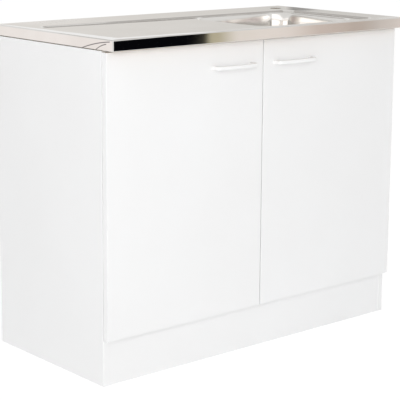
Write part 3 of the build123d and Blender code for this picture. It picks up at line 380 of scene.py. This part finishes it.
# %% [markdown]
# ## Hinge steel, zinc plate and die-cast zinc
# The hinges are pressed from steel and plated with nickel, which is bright and slightly yellow.
# Screws and flat plates are zinc plated, a cooler grey with a cloudy bloom. The cam locks are
# cast from zinc and left as they come from the die, so they are dull and finely pitted.

# %% Finishes: small metal parts
def plated(name, first, second, rough, cloud_scale, pit_depth):
    """A metal finish: two close tones in clouds, a drifting gloss and fine pits or scratches."""
    material, tree, shader = new_finish(name, {"Metallic": 1.0})
    cloud = pattern(tree, (cloud_scale,) * 3, detail=4.0)
    pits = pattern(tree, (900.0, 900.0, 900.0), detail=3.0)
    clouded = blend_colours(tree, spread(tree, cloud, 0.0, 1.0), first, second)
    tree.links.new(clouded, shader.inputs["Base Color"])
    tree.links.new(spread(tree, cloud, rough - 0.05, rough + 0.07), shader.inputs["Roughness"])
    tree.links.new(bumped(tree, pits, pit_depth), shader.inputs["Normal"])
    return material


nickel = plated("nickel_plated_steel", (0.62, 0.58, 0.52, 1), (0.70, 0.66, 0.60, 1),
                0.24, 60.0, 0.003 * MM)
zinc_plate = plated("zinc_plated_steel", (0.50, 0.52, 0.55, 1), (0.64, 0.65, 0.66, 1),
                    0.34, 150.0, 0.006 * MM)
cast_zinc = plated("die_cast_zinc", (0.40, 0.41, 0.43, 1), (0.50, 0.51, 0.53, 1),
                   0.48, 220.0, 0.03 * MM)
print("nickel nodes:", len(nickel.node_tree.nodes))


# %% [markdown]
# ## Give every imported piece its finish
# The record names a material slot for each piece. Most pieces take the finish of their slot. A
# few need their own: the boards whose rear edge is bare, the battens that run from front to
# back, the dowels, and the clear pads behind the doors.

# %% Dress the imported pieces
finish_of_slot = {"sink_steel": sink_steel, "white_board": white_board, "bare_wood": spruce_along_x,
                  "die_cast_zinc": cast_zinc, "zinc_plated_steel": zinc_plate,
                  "nickel_plated_steel": nickel, "white_plastic": handle_plastic,
                  "waste_plastic": waste_plastic, "rubber": black_rubber}
finish_of_piece = {"side_panel_left": white_board_bare_rear, "side_panel_right": white_board_bare_rear,
                   "bottom_panel": white_board_bare_rear, "side_battens": spruce_along_y, "dowels": beech,
                   "bumpers_left": bumper_plastic, "bumpers_right": bumper_plastic}


def dress(piece, material):
    """Put one material in the piece's slots."""
    if not piece.data.materials:
        piece.data.materials.append(material)
    for place in range(len(piece.data.materials)):
        piece.data.materials[place] = material


slot_of_piece = {part["node"]: part["material_slot"] for part in frame["record"]["subparts"]}
for node_name, piece in frame["nodes"].items():
    dress(piece, finish_of_piece.get(node_name, finish_of_slot[slot_of_piece[node_name]]))
print("pieces dressed:", len(slot_of_piece))


# %% [markdown]
# ## Sheet metal from loops
# Pressed sheet is smooth everywhere: each bend is a small arc, never a sharp edge. A mirror
# finish shows every fault of a mesh, so the sink top is built from closed loops that follow its
# form. Each loop is a level rectangle with rounded corners, given by how far it is drawn in and
# how high it lies. Loops with as many points each are joined by quads. Flat stretches between
# loops of different shape are filled by a triangulation that respects their edges. Close to each
# bend lies one more loop, so that the shading of the flat sheet stays flat.

# %% Helpers for loops
corner_steps = 10               # spans in each rounded corner
side_steps = 6                  # spans along each straight side


def rounded_loop(x0, x1, y0, y1, corner, height):
    """A level rectangle with rounded corners, counter-clockwise; height may be a function of X."""
    centres = ((x1 - corner, y1 - corner), (x0 + corner, y1 - corner),
               (x0 + corner, y0 + corner), (x1 - corner, y0 + corner))
    flat = []
    for quarter, (x, y) in enumerate(centres):
        for step in range(corner_steps + 1):
            angle = math.pi / 2 * (quarter + step / corner_steps)
            flat.append((x + corner * math.cos(angle), y + corner * math.sin(angle)))
        start = Vector(flat[-1])
        next_x, next_y = centres[(quarter + 1) % 4]
        turned = math.pi / 2 * (quarter + 1)
        end = Vector((next_x + corner * math.cos(turned), next_y + corner * math.sin(turned)))
        for step in range(1, side_steps):
            flat.append(tuple(start.lerp(end, step / side_steps)))
    if callable(height):
        return [Vector((x, y, height(x))) for x, y in flat]
    return [Vector((x, y, height)) for x, y in flat]


def round_loop(x, y, radius, height, guide):
    """A circle whose points lie in the same directions as those of a guiding loop."""
    points = []
    for point in guide:
        away = Vector((point.x - x, point.y - y)).normalized() * radius
        points.append(Vector((x + away.x, y + away.y, height)))
    return points


def lies_inside(x, y, loop):
    """Whether a point lies inside a loop: a line to its right crosses the loop an odd number of times."""
    inside = False
    for start, end in zip(loop, loop[1:] + loop[:1]):
        if (start.y > y) != (end.y > y):
            if x < start.x + (end.x - start.x) * (y - start.y) / (end.y - start.y):
                inside = not inside
    return inside


print("points in each loop:", len(rounded_loop(0, 1, 0, 1, 0.1, 0)))

# %% A sheet that collects points and faces
same_point = 1e-7               # points closer than this are one point of a triangulation


class Sheet:
    """A surface under construction: its points and its faces."""

    def __init__(self):
        self.points = []
        self.faces = []

    def quads(self, loops):
        """Join each loop to the next; the surface faces up when the loops run inward."""
        for outer, inner in zip(loops, loops[1:]):
            first = len(self.points)
            count = len(outer)
            self.points += list(outer) + list(inner)
            for step in range(count):
                after = (step + 1) % count
                self.faces.append((first + step, first + after, first + count + after, first + count + step))

    def fill(self, outer, holes, height, extra=()):
        """Fill the level space between an outer loop and its holes with triangles."""
        flat = []
        edges = []
        for loop in [outer] + list(holes):
            first = len(flat)
            flat += [Vector((point.x, point.y)) for point in loop]
            edges += [(first + step, first + (step + 1) % len(loop)) for step in range(len(loop))]
        flat += [Vector(point) for point in extra]
        found, _, triangles, *_ = delaunay_2d_cdt(flat, edges, [], 1, same_point)
        first = len(self.points)
        self.points += [Vector((point.x, point.y, height(point.x))) for point in found]
        for triangle in triangles:
            middle = sum((found[corner] for corner in triangle), Vector((0, 0))) / 3
            if not any(lies_inside(middle.x, middle.y, hole) for hole in holes):
                self.faces.append(tuple(first + corner for corner in triangle))


trial = Sheet()
trial.quads([rounded_loop(0, 1, 0, 1, 0.1, 0), rounded_loop(0.1, 0.9, 0.1, 0.9, 0.1, 0)])
print("quads between two loops:", len(trial.faces))

# %% From a surface to sheet metal
weld_reach = 0.002 * MM         # points of neighbouring loops that are closer become one
sharp_turn = math.radians(40)   # a larger turn between two faces is an edge, a smaller one is smooth


def sheet_piece(name, sheet, thickness, material):
    """Turn a surface into sheet metal of a real thickness, laid below the surface."""
    mesh = bpy.data.meshes.new(name)
    mesh.from_pydata(sheet.points, [], sheet.faces)
    piece = bpy.data.objects.new(name, mesh)
    bpy.context.scene.collection.objects.link(piece)
    weld = piece.modifiers.new("weld", "WELD")
    weld.merge_threshold = weld_reach
    wall = piece.modifiers.new("wall", "SOLIDIFY")
    wall.thickness = thickness
    wall.offset = -1.0
    wall.use_even_offset = True
    bpy.context.view_layer.update()
    final = bpy.data.meshes.new_from_object(piece.evaluated_get(bpy.context.evaluated_depsgraph_get()))
    piece.modifiers.clear()
    piece.data = final
    bpy.data.meshes.remove(mesh)
    final.name = name
    final.polygons.foreach_set("use_smooth", [True] * len(final.polygons))
    final.set_sharp_from_angle(angle=sharp_turn)
    dress(piece, material)
    print(name, "has", len(final.polygons), "faces")
    return piece


print("a turn of more than", round(math.degrees(sharp_turn)), "degrees stays sharp")


# %% [markdown]
# ## The folded sink top
# The top is one sheet. Its edge turns down over a small bend to a fold of almost 30 mm, and a lip
# turns in under it. Below the fold a thin gap is left, which shows as a dark line over the doors.
# A shallow tray is pressed into the top, 4 mm deep at the bowl and rising a little to the left,
# so that water runs to the bowl. Its edge is an S-shaped slope. The border left of the tray falls
# a little toward the fold. The outer corners are welded and ground round. All of it could be one
# cube with bevels, but loops give each bend its own radius and leave the flat sheet flat.

# %% Sizes of the sink top
bowl_low, bowl_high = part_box("sink_bowl")
sheet_thickness = 0.8 * MM
top = deck_high.z
shadow_gap = 1.6 * MM           # the fold ends just above the boards that carry the top
fold_bottom = deck_low.z + shadow_gap
bend = 2.0 * MM                 # outer radius of the folded edge
lip_bend = 1.5 * MM
lip = 12.0 * MM                 # edge turned in under the fold
support = 0.5 * MM              # from a bend to the loop that keeps the flat sheet flat
corner_round = 2.6 * MM         # ground corner of the fold
corner_least = 0.4 * MM         # what is left of it on the inner loops
border_left, border_right = 35 * MM, 80 * MM
border_front, border_rear = 28 * MM, 128 * MM
tray_edges = (deck_low.x + border_left, deck_high.x - border_right,
              deck_low.y + border_front, deck_high.y - border_rear)
tray_corner = 34.0 * MM
tray_slope = 5.0 * MM           # width of the S-shaped slope
tray_depth = 4.0 * MM
tray_fall = 1.5 * MM            # how much the tray's floor rises from the bowl to its left end
tray_curve = 1.2                # more than 1 makes it rise slowly at first
tray_floor = top - tray_depth
border_fall = 1.0 * MM
print("sink top from z", round(fold_bottom, 4), "to", round(top, 4))

# %% Places of the tap hole and the bowl
tap_radius = 17.5 * MM
tap_roll = 0.5 * MM             # rounding of the hole's punched edge
tap_wall = 0.7 * MM             # how far the punched edge reaches down
tap_place = (deck_high.x - 73 * MM, deck_high.y - 66 * MM)
rim_edge = bowl_low.x           # left edge of the bowl's flat rim, where the drainer ends
bowl_rim = 6.0 * MM             # flat rim of the bowl, welded into the top
bowl_corner = 58.0 * MM
bowl_edges = (bowl_low.x + bowl_rim, bowl_high.x - bowl_rim, bowl_low.y + bowl_rim, bowl_high.y - bowl_rim)
print("the bowl's mouth runs over x and y:", [round(edge, 3) for edge in bowl_edges])


# %% Loops round the fold and the tray
def edge_loop(inset, height):
    """A loop round the sink top, drawn in from its outer faces."""
    corner = max(corner_round - inset, corner_least)
    return rounded_loop(deck_low.x + inset, deck_high.x - inset, deck_low.y + inset, deck_high.y - inset,
                        corner, height)


def drainer_level(x):
    """Height of the tray's floor: level beside the bowl, and rising gently to its left end."""
    share = max(0.0, (rim_edge - x) / (rim_edge - tray_edges[0]))
    return tray_floor + tray_fall * share ** tray_curve


def tray_loop(inset, sunk):
    """A loop round the tray, drawn in from its upper edge; sunk is 0 there and 1 at its floor."""
    x0, x1, y0, y1 = tray_edges
    return rounded_loop(x0 + inset, x1 - inset, y0 + inset, y1 - inset, tray_corner - inset,
                        lambda x: top - (top - drainer_level(x)) * sunk)


def soft_step(share):
    """An even S from 0 to 1, flat at both ends."""
    return share * share * (3 - 2 * share)


def fold_profile():
    """Inset and height of each loop from the inner edge of the lip up to the flat top."""
    steps = 6
    points = [(lip, fold_bottom), (lip_bend + support, fold_bottom)]
    for step in range(steps + 1):
        angle = math.pi / 2 * step / steps
        points.append((lip_bend * (1 - math.sin(angle)), fold_bottom + lip_bend * (1 - math.cos(angle))))
    points += [(0, fold_bottom + lip_bend + support), (0, top - bend - support)]
    for step in range(steps + 1):
        angle = math.pi / 2 * step / steps
        points.append((bend * (1 - math.cos(angle)), top - bend * (1 - math.sin(angle))))
    return points + [(bend + support, top)]


print("loops from the lip to the top:", len(fold_profile()))

# %% Loops round the tap hole and the bowl
rim_steps = 48


def tap_loop(radius, height):
    """A circle round the tap hole, at a height."""
    x, y = tap_place
    turns = [math.tau * step / rim_steps for step in range(rim_steps)]
    return [Vector((x + radius * math.cos(turned), y + radius * math.sin(turned), height))
            for turned in turns]


def bowl_loop(inset, height):
    """A loop round the bowl, drawn in from the meeting line of its wall and the tray's floor."""
    x0, x1, y0, y1 = bowl_edges
    return rounded_loop(x0 + inset, x1 - inset, y0 + inset, y1 - inset, bowl_corner - inset, height)


print("points round the tap hole:", len(tap_loop(tap_radius, top)))

# %% Fold, slope and border
deck_sheet = Sheet()
deck_sheet.quads([edge_loop(inset, height) for inset, height in fold_profile()])
slope_steps = 10
slope = [(tray_slope * step / slope_steps, soft_step(step / slope_steps)) for step in range(slope_steps + 1)]
slope = [(-support, 0.0)] + slope + [(tray_slope + support, 1.0)]
deck_sheet.quads([tray_loop(inset, sunk) for inset, sunk in slope])
tap_rim = tap_loop(tap_radius + tap_roll + support, top)
border_step, border_pitch = 6 * MM, 18 * MM
border_points = [(deck_low.x + (column + 1) * border_step, deck_low.y + border_step + row * border_pitch)
                 for column in range(5) for row in range(28)]
deck_sheet.fill(edge_loop(bend + support, top), [tray_loop(-support, 0.0), tap_rim],
                lambda x: top, border_points)
print("faces of the fold, the slope and the border:", len(deck_sheet.faces))

# %% Tap hole and the tray's floor
roll_steps = 5
roll = [(tap_radius + tap_roll * (1 - math.sin(math.pi / 2 * step / roll_steps)),
         top - tap_roll * (1 - math.cos(math.pi / 2 * step / roll_steps))) for step in range(roll_steps + 1)]
deck_sheet.quads([tap_rim] + [tap_loop(radius, height) for radius, height in roll]
                 + [tap_loop(tap_radius, top - tap_wall)])
floor_step = 30 * MM
floor_start = (tray_edges[0] + tray_corner, tray_edges[2] + tray_corner)
floor_points = [(floor_start[0] + column * floor_step, floor_start[1] + row * floor_step)
                for column in range(15) for row in range(10)]
deck_sheet.fill(tray_loop(tray_slope + support, 1.0), [bowl_loop(-bowl_rim, tray_floor)],
                drainer_level, floor_points)
print("faces in all:", len(deck_sheet.faces))

# %% Build the sink top
border_end = tray_edges[0] - support
for point in deck_sheet.points:
    share = max(0.0, (border_end - point.x) / (border_end - deck_low.x))
    point.z -= border_fall * share ** 2 * (point.z - fold_bottom) / (top - fold_bottom)
sink_top = sheet_piece("sink_top", deck_sheet, sheet_thickness, sink_steel)
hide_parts("sink_deck")
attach(sink_top, "root")


# %% [markdown]
# ## The drawn bowl
# The bowl is pressed from its own sheet and welded into the tray's floor, where the weld is
# ground away. Its mouth rolls over into walls that lean in a little, the walls run round into
# the floor, and a shallow seat is pressed round the waste. The corners of its mouth are large
# and those of its floor are small, so the loops change their radius as they go down. On the
# floor they change from a rectangle to the circle of the waste.

# %% Sizes of the bowl
bowl_depth = 150.0 * MM
bowl_taper = 10.0 * MM
bowl_lip = 5.0 * MM             # rounding of the mouth
floor_round = 32.0 * MM         # rounding from the walls to the floor
bowl_floor = tray_floor - bowl_depth
seat_depth = 2.5 * MM
seat_flare = 5 * MM             # width of the slope round the seat
seat_room = 0.2 * MM            # room round the strainer dish
dish_low, dish_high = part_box("strainer_dish")
seat_radius = (dish_high.x - dish_low.x) / 2 + seat_room
waste_radius = 42.2 * MM
waste_place = ((dish_low.x + dish_high.x) / 2, (dish_low.y + dish_high.y) / 2)
lean = math.atan2(bowl_taper, bowl_depth)
bend_steps = 10
print("walls lean in by", round(math.degrees(lean), 1), "degrees")


# %% Loops down the bowl
def mouth_profile():
    """Inset and height of the loops from the flat rim over the rounded mouth."""
    mouth = bowl_lip * math.tan((math.pi / 2 - lean) / 2)
    points = [(-bowl_rim, tray_floor), (-mouth - support, tray_floor)]
    for step in range(bend_steps + 1):
        angle = (math.pi / 2 - lean) * step / bend_steps
        points.append((-mouth + bowl_lip * math.sin(angle), tray_floor - bowl_lip * (1 - math.cos(angle))))
    return points


def foot_profile():
    """Inset and height of the loops from the foot of the walls round to the flat floor."""
    points = []
    centre = bowl_taper * (bowl_depth - floor_round) / bowl_depth + floor_round / math.cos(lean)
    for step in range(bend_steps + 1):
        angle = lean + (math.pi / 2 - lean) * step / bend_steps
        points.append((centre - floor_round * math.cos(angle),
                       bowl_floor + floor_round * (1 - math.sin(angle))))
    return points


mouth_loops = [bowl_loop(inset, height) for inset, height in mouth_profile()]
foot_loops = [bowl_loop(inset, height) for inset, height in foot_profile()]
wall_steps = 6
walls = [[above.lerp(below, step / wall_steps) for above, below in zip(mouth_loops[-1], foot_loops[0])]
         for step in range(1, wall_steps)]
loops = mouth_loops + walls + foot_loops
print("loops down to the floor:", len(loops))

# %% Build the bowl
flat_edge = loops[-1]
seat_top = round_loop(*waste_place, seat_radius + seat_flare, bowl_floor, flat_edge)
spread_steps = 5
for step in range(1, spread_steps + 1):
    loops.append([outer.lerp(inner, step / spread_steps) for outer, inner in zip(flat_edge, seat_top)])
seat_steps = 8
for step in range(1, seat_steps + 1):
    share = step / seat_steps
    loops.append(round_loop(*waste_place, seat_radius + seat_flare * (1 - share),
                            bowl_floor - seat_depth * soft_step(share), flat_edge))
loops.append(round_loop(*waste_place, waste_radius, bowl_floor - seat_depth, flat_edge))
bowl_sheet = Sheet()
bowl_sheet.quads(loops)
drawn_bowl = sheet_piece("drawn_bowl", bowl_sheet, sheet_thickness, drawn_steel)
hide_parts("sink_bowl")
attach(drawn_bowl, "root")
print("loops of the whole bowl:", len(loops))


# %% [markdown]
# ## Light and floor
# A white product needs plain light: a white surrounding that lights it from all sides, and one
# large soft lamp that stands low at the front left, so that the faces differ a little and the
# fold of the top throws hardly any shadow on the doors. The background is white for the camera,
# and for mirrors too, so that the steel shows a bright room. The floor keeps only a soft shadow.

# %% White surroundings
def seen_directly(tree):
    """One for rays from the camera, a mirror or clear glass, nought for light that reaches surfaces."""
    path = add(tree, "ShaderNodeLightPath")
    first = add(tree, "ShaderNodeMath", {0: path.outputs["Is Camera Ray"], 1: path.outputs["Is Glossy Ray"]},
                operation="MAXIMUM").outputs[0]
    return add(tree, "ShaderNodeMath", {0: first, 1: path.outputs["Is Transmission Ray"]},
               operation="MAXIMUM").outputs[0]


world = bpy.data.worlds.new("white_room")
bpy.context.scene.world = world
world.use_nodes = True
sky = world.node_tree
sky.nodes.clear()
room_light = 0.668
white = add(sky, "ShaderNodeBackground", {"Color": (1, 1, 1, 1), "Strength": 1.0})
fill = add(sky, "ShaderNodeBackground", {"Color": (1, 1, 1, 1), "Strength": room_light})
mixed = add(sky, "ShaderNodeMixShader", {0: seen_directly(sky), 1: fill.outputs[0], 2: white.outputs[0]})
add(sky, "ShaderNodeOutputWorld", {"Surface": mixed.outputs[0]})
print("light of the room:", room_light)


# %% Floor that keeps the shadow
def stage_piece(name, points, faces, material):
    """A part of the set, not of the sink unit."""
    mesh = bpy.data.meshes.new(name)
    mesh.from_pydata(points, [], faces)
    mesh.materials.append(material)
    made = bpy.data.objects.new(name, mesh)
    bpy.context.scene.collection.objects.link(made)
    return made


floor_finish = bpy.data.materials.new("white_floor")
floor_finish.use_nodes = True
tree = floor_finish.node_tree
tree.nodes.clear()
matt = add(tree, "ShaderNodeBsdfDiffuse", {"Color": (0.95, 0.95, 0.95, 1)})
glow = add(tree, "ShaderNodeEmission", {"Color": (1, 1, 1, 1), "Strength": 1.15})
glow_share = 0.72               # the rest is matt, and takes the shadow
share = add(tree, "ShaderNodeMath", {0: seen_directly(tree), 1: glow_share}, operation="MULTIPLY")
both = add(tree, "ShaderNodeMixShader", {0: share.outputs[0], 1: matt.outputs[0], 2: glow.outputs[0]})
add(tree, "ShaderNodeOutputMaterial", {"Surface": both.outputs[0]})
reach = 30.0
stage_piece("floor", [(-reach, -reach, 0), (reach, -reach, 0), (reach, reach, 0), (-reach, reach, 0)],
            [(0, 1, 2, 3)], floor_finish)
print("floor reaches", reach, "m")

# %% Soft lamp from the front left
lamp_data = bpy.data.lights.new("soft_lamp", "AREA")
lamp_data.shape = "SQUARE"
lamp_data.size = 3.6            # a large lamp gives soft shadows
lamp_data.energy = 139.0
lamp = bpy.data.objects.new("soft_lamp", lamp_data)
lamp_place = Vector((-3.5, -4.0, 1.5))
lamp_aim = Vector((0, 0, 0.5))
lamp_turn = (lamp_place - lamp_aim).to_track_quat("Z", "Y").to_matrix()
lamp.matrix_world = Matrix.Translation(lamp_place) @ lamp_turn.to_4x4()
lamp.visible_glossy = False
bpy.context.scene.collection.objects.link(lamp)
print("lamp energy:", lamp_data.energy, "W")


# %% [markdown]
# ## What the steel mirrors
# Polished metal is only as good as what it mirrors. A photographer stands cards round a steel
# sink until each face shows a tone of its own, and so does this lesson. Mirrors see the cards,
# and nothing else does: they give no light and throw no shadow. Where a card goes follows from
# the mirror's law: a level top shows what lies behind it at the eye's angle, the left end shows
# the room at the back left, and the front fold shows what stands to the right of the camera.
# The bowl's walls stand square to each other, so like any corner they send the view back to
# where it came from: its card stands before the camera. A card shows at one bounce only, so a
# card for the second bounce is seen in the bowl and not in the level top.

# %% Corners and light of a card
def upright(x0, x1, y, z0, z1):
    """Corners of an upright card that faces front or back."""
    return [(x0, y, z0), (x1, y, z0), (x1, y, z1), (x0, y, z1)]


def sideways(x, y0, y1, z0, z1):
    """Corners of an upright card that faces left or right."""
    return [(x, y0, z0), (x, y1, z0), (x, y1, z1), (x, y0, z1)]


def lit(red, green, blue, share=1.0):
    """Light that gives a colour of 0 to 255 in a mirror that returns a share of it."""
    return tuple(part / share for part in colour(red, green, blue)[:3])


steel_share = 0.70              # light that the steel returns
level_share = 0.84              # and more of it at the flat angle of the level top
print("a card of", [round(part, 2) for part in lit(215, 212, 208, steel_share)], "gives pale grey steel")


# %% A card that mirrors see
def card(name, corners, tones, bounce=1):
    """A card that mirrors see at one bounce; tones run along X, as pairs of X and light."""
    finish = bpy.data.materials.new(name)
    finish.use_nodes = True
    tree = finish.node_tree
    tree.nodes.clear()
    first, last = tones[0][0], tones[-1][0]
    place = add(tree, "ShaderNodeTexCoord").outputs["Object"]
    across = add(tree, "ShaderNodeSeparateXYZ", {"Vector": place}).outputs["X"]
    along = add(tree, "ShaderNodeMapRange", {"Value": across, "From Min": first, "From Max": last})
    ramp = add(tree, "ShaderNodeValToRGB", {"Fac": along.outputs["Result"]})
    stops = ramp.color_ramp.elements
    for x, tone in tones[1:-1]:
        stops.new((x - first) / (last - first)).color = (*tone, 1.0)
    stops[0].color = (*tones[0][1], 1.0)
    stops[len(stops) - 1].color = (*tones[-1][1], 1.0)
    shown = add(tree, "ShaderNodeEmission", {"Color": ramp.outputs["Color"], "Strength": 1.0})
    clear = add(tree, "ShaderNodeBsdfTransparent")
    depth = add(tree, "ShaderNodeLightPath").outputs["Glossy Depth"]
    seen = add(tree, "ShaderNodeMath", {0: depth, 1: float(bounce), 2: 0.5}, operation="COMPARE")
    either = add(tree, "ShaderNodeMixShader", {0: seen.outputs[0], 1: clear.outputs[0], 2: shown.outputs[0]})
    add(tree, "ShaderNodeOutputMaterial", {"Surface": either.outputs[0]})
    faces = [tuple(range(start, start + 4)) for start in range(0, len(corners), 4)]
    made = stage_piece(name, corners, faces, finish)
    made.visible_camera = False
    made.visible_diffuse = False
    made.visible_shadow = False
    made.visible_transmission = False
    return made


fold_card = deck_low.y - 1.5    # y of the card that the front fold mirrors
black, olive, cream = lit(10, 10, 14), lit(178, 171, 148, steel_share), lit(220, 213, 207, steel_share)
rosy, taupe = lit(222, 214, 209, steel_share), lit(185, 173, 165, steel_share)
fold_tones = [(0.2, black), (1.086, black), (1.092, olive), (1.14, olive), (1.24, cream), (1.50, rosy),
              (1.70, lit(200, 187, 180, steel_share)), (1.92, taupe),
              (2.14, lit(194, 186, 181, steel_share)), (2.7, rosy)]
card("card_front", upright(0.2, 2.7, fold_card, 0.50, 0.80), fold_tones)
print("tones on the front card:", len(fold_tones))

# %% Cards behind the sink
back_card = 2.5                 # y of the cards that the level top and the left fold mirror
drainer, ledge = lit(216, 213, 209, level_share), lit(206, 203, 199, level_share)
level_tones = [(-0.5, lit(222, 219, 216, level_share)), (0.9, drainer), (2.2, ledge),
               (3.0, lit(198, 196, 192, level_share)), (5.0, lit(196, 192, 188, level_share))]
card("card_back", upright(-0.5, 5.0, back_card, 0.86, 1.22), level_tones)
dark_tones = [(2.66, ledge), (2.72, lit(150, 148, 146)), (2.82, lit(160, 158, 156)), (2.98, ledge)]
card("card_back_dark", upright(2.66, 2.98, back_card - 0.05, 0.96, 1.125), dark_tones)
end_tones = [(-3.6, lit(238, 232, 231, steel_share)), (-0.9, lit(232, 228, 226, steel_share))]
card("card_left", upright(-3.6, -0.9, back_card, 0.05, 0.85), end_tones)


# %% Cards for the bowl
def plain_card(name, corners, light, bounce=1):
    """A card of one tone."""
    return card(name, corners, [(-1.0, light), (1.0, light)], bounce)


corner_share = steel_share ** 2  # two walls return the light in turn
bowl_loss = 0.7                 # the bowl's softer steel spreads part of a bright card's light
bright, mauve = lit(253, 250, 250, bowl_loss * corner_share), lit(118, 104, 109, corner_share)
shade, milky = lit(176, 166, 164, corner_share), lit(226, 221, 215, corner_share)
bowl_card = -2.0                # y of the cards before the camera
bowl_tones = [(-7.0, milky), (-2.9, shade), (-2.45, shade), (-2.12, milky), (-1.95, bright),
              (-1.515, bright), (-1.51, mauve), (-1.44, mauve), (-1.36, lit(196, 186, 187, corner_share)),
              (-1.29, milky), (-1.16, bright), (1.2, bright), (1.6, milky), (2.1, shade), (2.4, shade),
              (7.0, bright)]
card("card_bowl", upright(-7.0, 7.0, bowl_card, 0.95, 2.1), bowl_tones, bounce=2)
glaring = lit(253, 250, 250, bowl_loss * steel_share ** 3)
plain_card("card_bowl_back", upright(-3.4, 0.6, 2.40, 1.02, 2.0), bright, bounce=2)
plain_card("card_bowl_back_again", upright(-3.4, 0.6, 2.45, 1.02, 1.41), glaring, bounce=3)
plain_card("card_bowl_right", sideways(3.2, -1.7, 1.0, 0.95, 1.7), bright, bounce=2)
low_loss = 0.8                  # a little less is lost at one bounce
pale = lit(252, 249, 249, low_loss * steel_share)
plain_card("card_bowl_low", upright(-7.0, 0.4, bowl_card, 0.90, 1.16), pale)
plain_card("card_bowl_left", sideways(-4.5, -2.0, 0.6, 0.90, 1.16), pale)

# %% [markdown]
# ## A grey band for the tray's slope
# The slope round the tray is so steep that it mirrors what lies high above the back and the
# right. A band of grey strips stands there, as part of a dome, and draws the thin line that
# tells the tray from its border. At the left end the view takes one more bounce before it gets
# there, so the band is there twice, once for each bounce, and the second is a little larger.

# %% Band above the back and the right
ring_steps = 12
ring_far = 4.0                  # from the sink to the band
ring_edges = (math.radians(34), math.radians(56))
ring_turns = (math.radians(-30), math.radians(115))
ring_points = []
for step in range(ring_steps):
    turns = [ring_turns[0] + (ring_turns[1] - ring_turns[0]) * (step + more) / ring_steps for more in (0, 1)]
    for turned, rise in ((turns[0], 0), (turns[1], 0), (turns[1], 1), (turns[0], 1)):
        level = ring_far * math.cos(ring_edges[rise])
        ring_points.append((level * math.sin(turned), level * math.cos(turned),
                            top + ring_far * math.sin(ring_edges[rise])))
growth = 1.03                   # the second band lies outside the first, or one would hide the other
wider_points = [Vector(point) * growth for point in ring_points]
dusk = lit(207, 204, 202)
plain_card("card_above", ring_points, dusk)
plain_card("card_above_again", wider_points, dusk, bounce=2)
print("strips in each band:", ring_steps)


# %% [markdown]
# The standard view keeps a written colour as it is. The box of the imported model is printed as well.

# %% Finish
bpy.context.scene.view_settings.view_transform = "Standard"
print("box before:", [tuple(round(v, 4) for v in corner) for corner in box_before])
